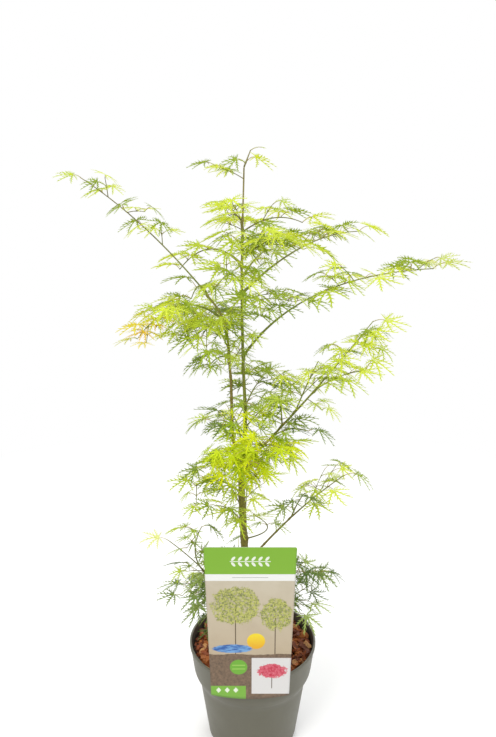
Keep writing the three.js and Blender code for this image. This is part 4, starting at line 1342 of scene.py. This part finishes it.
# %% Plastic
def plastic(name, tone, dust_and_shade, dust_and_shade_share):
    """Moulded plastic: a faint cloudiness, a fine grain, and blots of dust, which inside the pot are soil
    stains and painted shade.
    """
    paint = Paint(name)
    place = paint.place()
    clouds = paint.noise(place, 26, detail=4)
    flow = paint.noise(paint.stretched(place, (1, 1, 0.12)), 6, detail=3)
    grain = paint.noise(place, 0.7, detail=2)
    blots = (paint.noise(place, 4, detail=5, roughness=0.65) * 3.2 - 1.7).clamped()
    base = paint.blend(clouds * 0.5 + flow * 0.3, colour(*tone), colour(*[part * 0.9 for part in tone]))
    base = paint.blend(blots * dust_and_shade_share, base, colour(*dust_and_shade))
    relief = paint.bump(grain * 0.6 + flow * 0.4, 0.05, 0.55)
    return paint.finish(base, 0.4 + clouds * 0.14 + blots * 0.15, relief, specular=0.45)


# %% Holes
def cut_holes(piece, cutters):
    """Cuts closed meshes out of a piece and keeps the result as its own mesh."""
    cutter = bpy.data.objects.new("cutter", cutters)
    bpy.context.scene.collection.objects.link(cutter)
    cut = piece.modifiers.new("holes", "BOOLEAN")
    cut.operation, cut.object, cut.solver = "DIFFERENCE", cutter, "EXACT"
    bpy.context.view_layer.update()
    whole = bpy.data.meshes.new_from_object(piece.evaluated_get(bpy.context.evaluated_depsgraph_get()))
    piece.modifiers.clear()
    piece.data = whole
    bpy.data.objects.remove(cutter)


# %% The pot
pot_profile = rounded(pot_corners)
pot_points, pot_faces = turned(pot_profile, POT_TURNS)
outer_rings = int(np.argmax(pot_profile[:, 1] >= POT_HEIGHT)) + ARC_POINTS
ring_kinds = (np.arange(len(pot_profile) - 1) >= outer_rings).astype(int)
pot_kinds = np.concatenate([np.repeat(ring_kinds, POT_TURNS), np.repeat([0, 1], POT_TURNS)])
pot_outside = plastic("pot_plastic", (90, 88, 74), (140, 130, 108), 0.1)
# The inside of the pot is painted shade: a darker, browner tone than the same plastic outside, with heavy brown
# blots that are partly soil stains and partly painted shade.
pot_inside_painted_shade = plastic("pot_plastic_inside_painted_shade", (74, 68, 60), (72, 52, 36), 0.6)
pot_shell = piece_of("pot_shell", pot_points, pot_faces, [pot_outside, pot_inside_painted_shade], kinds=pot_kinds)

# %% Its drain holes
DRILL_HEIGHTS = np.array([-3.0, 0.0, 6.0])
DRILL_SIDES = 24

turns = np.arange(DRAIN_HOLES) / DRAIN_HOLES * 2 * math.pi
middles = np.stack([DRAIN_RING * np.cos(turns), DRAIN_RING * np.sin(turns), 0 * turns], axis=-1)
drill_lines = middles[:, None] + UP * DRILL_HEIGHTS[None, :, None]
drill_points, drill_faces = tubes(drill_lines, np.full((DRAIN_HOLES, 3), float(DRAIN_RADIUS)), DRILL_SIDES)
drills = bpy.data.meshes.new("drills")
drills.from_pydata((drill_points.reshape(-1, 3) * MM).tolist(), [],
                   [face for part in drill_faces for face in part.tolist()])
cut_holes(pot_shell, drills)
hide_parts("pot")
print("the pot has", len(pot_shell.data.polygons), "faces")

# %% [markdown]
# ## Bark mulch
# The compost is covered with flat splinters of pine bark, reddish brown with paler torn faces. Each chip is
# the same small block with its own length, width and thickness. Its corners are pushed about and its surface
# roughened, so that no two are alike. They lie in three loose layers, each on the last.

# %% Compost
COMPOST_RINGS = 46
COMPOST_TURNS = 120
COMPOST_WAVES = 26
MULCH_SEED = 333


def bumps(x, y, chance, longest, shortest, depth):
    """A rough surface: the sum of many waves in all directions, of lengths between the longest and the
    shortest, whose heights go with their lengths."""
    length = np.geomspace(longest, shortest, COMPOST_WAVES)
    turn, phase = chance.uniform(0, 2 * math.pi, (2, COMPOST_WAVES))
    wave = [size * np.cos(2 * math.pi / size * (x * math.cos(a) + y * math.sin(a)) + p)
            for size, a, p in zip(length, turn, phase)]
    return depth * sum(wave) / math.sqrt((length ** 2).sum())


# %% Torn bark
def bark_mulch(name, first, second):
    """Torn bark: two tones in fibres, with darker clouds."""
    paint = Paint(name)
    place = paint.place()
    fibres = paint.noise(paint.stretched(place, (0.35, 1.6, 1.2)), 1.5, detail=5, roughness=0.65)
    clouds = paint.noise(place, 9, detail=2)
    base = paint.mottled(fibres, 1.8, 0.45, colour(*first), colour(*second))
    base = paint.blend((clouds * 2 - 0.8).clamped() * 0.45, base, colour(*[part * 0.55 for part in first]))
    return paint.finish(base, 0.4 + fibres * 0.35, paint.bump(fibres, 0.5, 0.8), specular=0.3)


# %% The plug of compost
chance = np.random.default_rng(MULCH_SEED)
inner_wall = WALL + GAP
slope = (RIM_RADIUS - LIP_STEP - COLLAR_RADIUS) / (POT_HEIGHT - COLLAR_FOOT_Z)
soil_radius = COLLAR_RADIUS - inner_wall + slope * (SOIL_Z - COLLAR_FOOT_Z)
plug = rounded([(1, FLOOR + GAP, 0), (FOOT_RADIUS - inner_wall, FLOOR + GAP, 1.5),
                (WAIST_RADIUS - inner_wall, WAIST_Z, 7), (COLLAR_RADIUS - inner_wall, COLLAR_FOOT_Z, 7),
                (soil_radius, SOIL_Z, 0)])
top = np.stack([np.linspace(soil_radius, 1, COMPOST_RINGS)[1:], np.full(COMPOST_RINGS - 1, SOIL_Z)], axis=-1)
compost_points, compost_faces = turned(np.concatenate([plug, top]), COMPOST_TURNS)
on_top = compost_points[:, 2] > SOIL_Z - 0.5
compost_points[:, 2] += on_top * bumps(compost_points[:, 0], compost_points[:, 1], chance, 40, 3, 1.1)
compost = piece_of("compost", compost_points, compost_faces,
                   [bark_mulch("compost", (60, 32, 16), (42, 22, 10))])
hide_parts("mulch")

# %% Chips
CHIP_CELLS = (4, 3, 2)  # points along, across and through a chip
CHIP_LAYERS = [(420, 144.6, 0.3), (330, 147.0, 0.5), (150, 149.4, 0.6)]  # how many, how high, how tilted
CHIP_LENGTH = (6.5, 16)
CHIP_WIDTH = (0.35, 0.62)  # of the length
CHIP_THICKNESS = (1.6, 3.8)
CHIP_CORNERS = 0.24  # how far a corner is pushed, as a share of the chip
CHIP_ROUGHNESS = 0.06
TRUNK_CLEAR = 11
WALL_CLEAR = 1.2
GOLDEN_ANGLE = 2.39996
NUDGE = 3  # to and from the trunk
CHIP_TONES = [((150, 76, 30), (106, 44, 14)), ((178, 106, 50), (134, 68, 26)),
              ((112, 54, 22), (76, 32, 10)), ((208, 156, 100), (158, 102, 54))]
CHIP_SHARES = [0.38, 0.27, 0.23, 0.12]


def block_faces(cells):
    """The outer quads of a block of points: a grid on each of its six sides, with the ones that would face
    inwards turned over."""
    number = np.arange(np.prod(cells)).reshape(cells)
    found = []
    for axis in range(3):
        for end in (0, -1):
            face = np.take(number, end, axis=axis)
            quads = face.ravel()[grid_faces(*face.shape)]
            flip = (end == 0) ^ (axis == 1)
            found.append(quads[:, ::-1] if flip else quads)
    return np.concatenate(found)


# %% Where the chips lie
def chip_places(chance):
    """Chips spread by the sunflower rule, each turned about a golden angle from the last and further out with
    the root of its number, then nudged. Gives their middles, tilts and turns."""
    places = []
    for count, height, tilt in CHIP_LAYERS:
        number = np.arange(count) + chance.uniform(0, 1)
        radius = mix(TRUNK_CLEAR ** 2, (soil_radius - NUDGE) ** 2, number / count) ** 0.5
        radius = radius + chance.uniform(-NUDGE, NUDGE, count)
        angle = number * GOLDEN_ANGLE + chance.uniform(-0.1, 0.1, count)
        z = height + chance.uniform(-1, 1, count)
        lean = chance.uniform(-tilt, tilt, (count, 2))
        places.append(np.column_stack([radius * np.cos(angle), radius * np.sin(angle), z, lean,
                                       chance.uniform(0, math.pi, count)]))
    return np.concatenate(places)


def turned_axes(tilt_x, tilt_y, turn):
    """The three directions of a block that is tilted about X, then about Y, then turned about Z."""
    cx, sx, cy, sy, cz, sz = (f(v) for v in (tilt_x, tilt_y, turn) for f in (np.cos, np.sin))
    return np.stack([
        np.stack([cz * cy, sz * cy, -sy], axis=-1),
        np.stack([cz * sy * sx - sz * cx, sz * sy * sx + cz * cx, cy * sx], axis=-1),
        np.stack([cz * sy * cx + sz * sx, sz * sy * cx - cz * sx, cy * cx], axis=-1),
    ], axis=-2)


# %% The shape of every chip
def chip_points(places, chance):
    """Every chip's points: a block whose eight corners are pushed at random, with the points between them
    following in proportion, then roughened, turned and put in place."""
    count = len(places)
    steps = [np.linspace(0, 1, cells) for cells in CHIP_CELLS]
    grid = np.stack(np.meshgrid(*steps, indexing="ij"), axis=-1).reshape(-1, 3)
    corners = np.array([[i, j, k] for i in (0, 1) for j in (0, 1) for k in (0, 1)])
    weight = np.abs(1 - corners[None] - grid[:, None]).prod(-1)
    pushed = corners - 0.5 + chance.uniform(-CHIP_CORNERS, CHIP_CORNERS, (count, 8, 3))
    local = np.einsum("vc,ncd->nvd", weight, pushed)
    local = local + chance.normal(0, CHIP_ROUGHNESS, local.shape) * (1, 1, 1.6)
    length = chance.uniform(*CHIP_LENGTH, count)
    size = np.column_stack([length, length * chance.uniform(*CHIP_WIDTH, count),
                            chance.uniform(*CHIP_THICKNESS, count)])
    axes = turned_axes(*places[:, 3:].T)
    return places[:, None, :3] + np.einsum("nvk,nkd->nvd", local * size[:, None], axes)


def held_in(points):
    """Chips pulled in from the wall and out from the trunk by as much as their furthest point needs."""
    x, y = points[..., 0], points[..., 1]
    wall = soil_radius - WALL_CLEAR + slope * np.maximum(0, points[..., 2] - SOIL_Z)
    excess = np.maximum(0, np.hypot(x, y) - wall).max(axis=1)
    middle = points[..., :2].mean(axis=1)
    points[..., :2] -= (unit(middle) * excess[:, None])[:, None]
    return points


# %% Laying the chips
chips = held_in(chip_points(chip_places(chance), chance))
chip_kind = chance.choice(len(CHIP_TONES), len(chips), p=CHIP_SHARES)
for number, tones in enumerate(CHIP_TONES):
    mine = chips[chip_kind == number]
    faces = [repeated(block_faces(CHIP_CELLS), mine.shape[1], len(mine))]
    piece_of(f"bark_chips_{number + 1}", mine, faces, [bark_mulch(f"bark_chip_{number + 1}", *tones)],
             smooth=False)
print("the pot is covered with", len(chips), "chips, the highest at", round(chips[..., 2].max(), 1), "mm")

# %% [markdown]
# ## The plant card
# A printed plastic card hangs over the rim on a hook. Its picture is worked out in the material from the
# place on the card: bands between two heights, and discs, where the squared distances from the middle, each
# divided by the squared radius in its own direction, add up to less than one.

# %% The card's print
CARD_BACK_Y = -95.3
CARD_THICKNESS = 0.8
CARD_FOOT_WIDTH, CARD_FOOT_Z, CARD_SAG = 109, 138, 28
CARD_CORNER = 2.5
CARD_COLUMNS, CARD_ROWS = 41, 50
CARD_HEIGHT = 240
SPRIG_Z, SPRIG_HALF, SPRIG_STEP = 349, 27, 9
INK = 0.72
TREES = (((-20, 282), (36, 32), 40), ((34, 268), (24, 27), 32))  # middle, radii and half the stem
LOZENGES = (-44, -32, -20)


def between(value, low, high):
    """One where a value lies between two limits, else nought."""
    return (value > low) * (value < high)


def disc(x, z, middle, radii, fuzz=0.0):
    """One inside an ellipse. fuzz is a pattern that moves its edge in and out."""
    across, up = (x - middle[0]) / radii[0], (z - middle[1]) / radii[1]
    return ((1 - across * across - up * up + fuzz) * 6).clamped()


def sprig(x, z):
    """A plain stem with slanted leaves in pairs, repeated at even steps."""
    place = (x + SPRIG_HALF) / SPRIG_STEP
    across = place.maths("FRACT", place) * SPRIG_STEP - SPRIG_STEP / 2
    up = abs(z - SPRIG_Z) - 4.2
    lean = (across - up * 0.55) / 2.2
    leaf = (1 - lean * lean - up * up / 10) > 0
    line = abs(z - SPRIG_Z) < 0.55
    return (leaf + line).clamped() * (abs(x) < SPRIG_HALF)


def ink(*screen):
    """A printed colour: the card's plastic takes away part of the light."""
    return (*[part * INK for part in colour(*screen)[:3]], 1.0)


# %% The picture on the card
def picture_layers(paint, place, x, z, wide, fine):
    """The card's picture: two trees, a sun and a pond over soil. A layer is a mask and a colour."""
    speckle, clumps = paint.noise(place, 1.7, detail=3), paint.noise(place, 11, detail=6, roughness=0.7)
    leafage = paint.mottled(speckle, 5, 2, ink(104, 118, 38), ink(198, 200, 98))
    ripples = paint.noise(paint.stretched(place, (0.25, 1, 1)), 2.2)
    pond = paint.mottled(ripples, 5, 2, ink(44, 96, 170), ink(118, 168, 220))
    sunlight = paint.blend(((z - 216) / 20).clamped(), ink(238, 176, 20), ink(250, 224, 40))
    layers = [((wide * 2 - 0.8).clamped() * 0.3, ink(170, 152, 122))]
    for middle, radii, stem in TREES:
        trunk = (abs(x - middle[0]) < 0.7) * between(z, middle[1] - 2 * stem, middle[1])
        crown = disc(x, z, middle, radii, clumps * 2.4 - 1.3) * ((fine - 0.36) * 8).clamped()
        layers += [(trunk, ink(96, 80, 58)), (crown * 0.9, leafage)]
    return layers + [
        (disc(x, z, (8, 226), (13, 13)), sunlight),
        (disc(x, z, (-24, 214), (28, 7), (fine * 1.6 - 0.8) * 0.4), pond),
        (z < wide * 6 + 202, paint.mottled(fine, 3, 1, ink(96, 78, 60), ink(138, 112, 88))),
    ]


# %% The ornament round it
def ornament_layers(paint, x, z, fine):
    """What is printed over the picture: a panel with a red shrub, a seal, a foot, the header and a sprig."""
    stripes = (abs(abs(z - 184) - 3) < 0.8) * (abs(x + 16) < 9)
    layers = [
        (between(x, 2, 70) * between(z, 140, 199), ink(226, 224, 222)),
        ((abs(x - 30) < 0.6) * between(z, 149, 170), ink(110, 96, 84)),
        (disc(x, z, (30, 178), (21, 12), (fine * 1.6 - 0.8) * 1.3),
         paint.mottled(fine, 4, 1.5, ink(196, 24, 60), ink(226, 112, 130))),
        (disc(x, z, (-16, 184), (12.5, 12.5)), paint.blend(stripes, ink(112, 178, 48), ink(160, 206, 90))),
        ((z < 153) * (x < -6), ink(124, 182, 58)),
    ]
    layers += [((abs(x - middle) + abs(z - 146) * 0.8) < 3.6, ink(236, 244, 222)) for middle in LOZENGES]
    return layers + [
        (z > 320, ink(248, 249, 245)),
        ((abs(z - 325) < 0.35) * (abs(x) < 24), ink(160, 164, 158)),
        (z > 330, ink(134, 186, 50)),
        (sprig(x, z), ink(244, 249, 234)),
    ]


# %% All layers of the print
def print_material():
    """The front of the card: a ground that pales with height, and layer over layer on it."""
    paint = Paint("card_print")
    place = paint.place()
    x, _, z = [part / MM for part in paint.axes(place)]
    x = x - CARD_MIDDLE_X
    wide, fine = paint.noise(place, 22, detail=4), paint.noise(place, 3.4, detail=6, roughness=0.65)
    base = paint.blend(((z - 205) / 120).clamped(), ink(196, 178, 150), ink(212, 202, 180))
    for mask, tone in picture_layers(paint, place, x, z, wide, fine) + ornament_layers(paint, x, z, fine):
        base = paint.blend(mask, base, tone)
    return paint.finish(base, 0.34 + wide * 0.12, paint.bump(wide, 0.25, 0.3), specular=0.45)


# %% The sheet of the card
def card_points():
    """The front of the card: rows from its curved foot to its top, with rounded top corners. A corner takes
    from the half width what a circle of its radius leaves."""
    t = np.linspace(0, 1, CARD_COLUMNS)
    near_top = 1 - np.geomspace(3, 0.05, 9) / CARD_HEIGHT
    rows = np.concatenate([np.linspace(0, 1, CARD_ROWS)[:-2], near_top, [1.0]])
    foot = CARD_FOOT_Z - CARD_SAG * t * (1 - t)
    z = mix(foot[None], CARD_TOP_Z, rows[:, None])
    down = np.maximum(0, CARD_CORNER - (CARD_TOP_Z - z))
    half = mix(CARD_FOOT_WIDTH, CARD_TOP_WIDTH, rows[:, None]) / 2
    half = half - (CARD_CORNER - np.sqrt(np.maximum(0, CARD_CORNER ** 2 - down ** 2)))
    x = half * (2 * t[None] - 1) + CARD_MIDDLE_X
    return np.stack([x, 0 * x + CARD_BACK_Y - CARD_THICKNESS, z], axis=-1), (len(rows), len(t))


def thickened(piece, thickness):
    """Gives a sheet a back at the given thickness behind its front, with a rim between them."""
    solid = piece.modifiers.new("thickness", "SOLIDIFY")
    solid.thickness, solid.offset = thickness * MM, -1
    solid.material_offset = solid.material_offset_rim = 1
    return piece


card_plain = plastic("card_plastic", (206, 210, 200), (170, 164, 140), 0.12)
points, size = card_points()
card_sheet = piece_of("card_sheet", points, [grid_faces(*size)], [print_material(), card_plain])
thickened(card_sheet, CARD_THICKNESS)
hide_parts("card")

# %% The hook
HOOK_HALF, HOOK_THICKNESS = 14, 0.6
HOOK_OUTER_Y, HOOK_INNER_Y = -95.65, -84.4
HOOK_START_Z, HOOK_TOP_Z, HOOK_FOOT_Z, HOOK_POINT_Z = 152, 162.1, 118, 117.9
HOOK_DROP_Z = 158  # where the straight drop inside the rim starts
HOOK_ROWS, HOOK_COLUMNS = 20, 9

bend = rounded([(HOOK_OUTER_Y, HOOK_START_Z, 0), (HOOK_OUTER_Y, HOOK_TOP_Z, 2), (HOOK_INNER_Y, HOOK_TOP_Z, 2),
                (HOOK_INNER_Y, HOOK_FOOT_Z, 0)])
drop_z = np.linspace(HOOK_DROP_Z, HOOK_FOOT_Z, HOOK_ROWS)
drop = np.stack([np.full(HOOK_ROWS, HOOK_INNER_Y), drop_z], axis=-1)
hook = np.concatenate([bend[:-1], drop])
across = np.linspace(-1, 1, HOOK_COLUMNS)
pointed = 6 + np.sqrt(np.maximum(0, (hook[:, 1] - HOOK_POINT_Z) * 16))
hook_x = CARD_MIDDLE_X + np.minimum(HOOK_HALF, pointed)[:, None] * across
hook_y, hook_z = hook[:, 0, None] + 0 * across, hook[:, 1, None] + 0 * across
points = np.stack([hook_x, hook_y, hook_z], axis=-1)
card_hook = piece_of("card_hook", points, [grid_faces(len(hook), len(across))],
                     [card_plain, card_plain])
thickened(card_hook, HOOK_THICKNESS).modifiers[0].offset = 0
print("the card is", CARD_TOP_WIDTH, "mm wide at its top")

# %% [markdown]
# ## Stage and light
# The plant stands on a white floor that fades, away from the pot, into the same white as the sky behind it.
# One large lamp hangs in front, high on the left, a weaker one fills from the right, a third stands behind,
# and the pale sky does the rest.

# %% The floor
FLOOR_HALF = 9.0  # metres
FADE = (0.3, 1.3)  # where the floor starts and ends turning into plain white
BOUNCE = 0.4  # how strongly the far floor lights the plant
WHITE = (1, 1, 1, 1)
NEAR_TONE = (0.86, 0.86, 0.86, 1)

floor_paint = Paint("stage_floor")
floor_x, floor_y, _ = floor_paint.axes(floor_paint.place())
squares = floor_x * floor_x + floor_y * floor_y
distance = squares.maths("SQRT", squares)
fade = ((distance - FADE[0]) / (FADE[1] - FADE[0])).clamped()
near = floor_paint.node("ShaderNodeBsdfPrincipled", {}, {"Base Color": NEAR_TONE, "Roughness": 0.6})
seen = floor_paint.node("ShaderNodeLightPath", output="Is Camera Ray")
glow = {"Color": WHITE, "Strength": seen * (1 - BOUNCE) + BOUNCE}
far = floor_paint.node("ShaderNodeEmission", {}, glow)
shader = floor_paint.node("ShaderNodeMixShader", {}, {0: fade, 1: near, 2: far})
floor_paint.surface(shader)

floor_mesh = bpy.data.meshes.new("floor")
corners = [(x * FLOOR_HALF, y * FLOOR_HALF, 0) for x, y in ((-1, -1), (1, -1), (1, 1), (-1, 1))]
floor_mesh.from_pydata(corners, [], [(0, 1, 2, 3)])
floor_mesh.materials.append(floor_paint.material)
floor = bpy.data.objects.new("floor", floor_mesh)
bpy.context.scene.collection.objects.link(floor)
floor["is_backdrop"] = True

# %% The sky
SKY = 0.95  # how strongly the white sky lights the plant

world = bpy.data.worlds.new("sky")
world.use_nodes = True
nodes, links = world.node_tree.nodes, world.node_tree.links
sky, backdrop = nodes["Background"], nodes.new("ShaderNodeBackground")
for background, strength in ((sky, SKY), (backdrop, 1.0)):
    background.inputs["Color"].default_value = WHITE
    background.inputs["Strength"].default_value = strength
path, either = nodes.new("ShaderNodeLightPath"), nodes.new("ShaderNodeMixShader")
links.new(path.outputs["Is Camera Ray"], either.inputs[0])
links.new(sky.outputs[0], either.inputs[1])
links.new(backdrop.outputs[0], either.inputs[2])
links.new(either.outputs[0], nodes["World Output"].inputs["Surface"])
bpy.context.scene.world = world

# %% Three lamps
def lamp(name, place, aim, side, watts, tone=(1, 1, 1)):
    """A square lamp, turned so that its -Z axis points at its aim."""
    made = bpy.data.objects.new(name, bpy.data.lights.new(name, "AREA"))
    made.data.size, made.data.energy, made.data.color = side, watts, tone
    made.location = place
    sight = mathutils.Vector(aim) - mathutils.Vector(place)
    made.rotation_euler = sight.to_track_quat("-Z", "Y").to_euler()
    bpy.context.scene.collection.objects.link(made)


lamp("key", (-1.1, -1.5, 2.1), (0, 0, 0.55), 1.2, 38, (1, 0.985, 0.95))
lamp("fill", (1.6, -1.3, 1.2), (0, 0, 0.5), 1.6, 14, (0.96, 0.98, 1))
lamp("back", (0.6, 1.8, 1.9), (0, 0, 0.6), 1.2, 18)
bpy.context.scene.view_settings.view_transform = "Standard"
bpy.context.scene.view_settings.look = "None"

# %% Measure and finish
low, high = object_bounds()
boxes = [[list(cad_low), list(cad_high)], [list(low), list(high)]]
[[[float(side) for side in corner] for corner in box] for box in boxes]
print("the finished plant is", round(high.z - low.z, 3), "m tall")
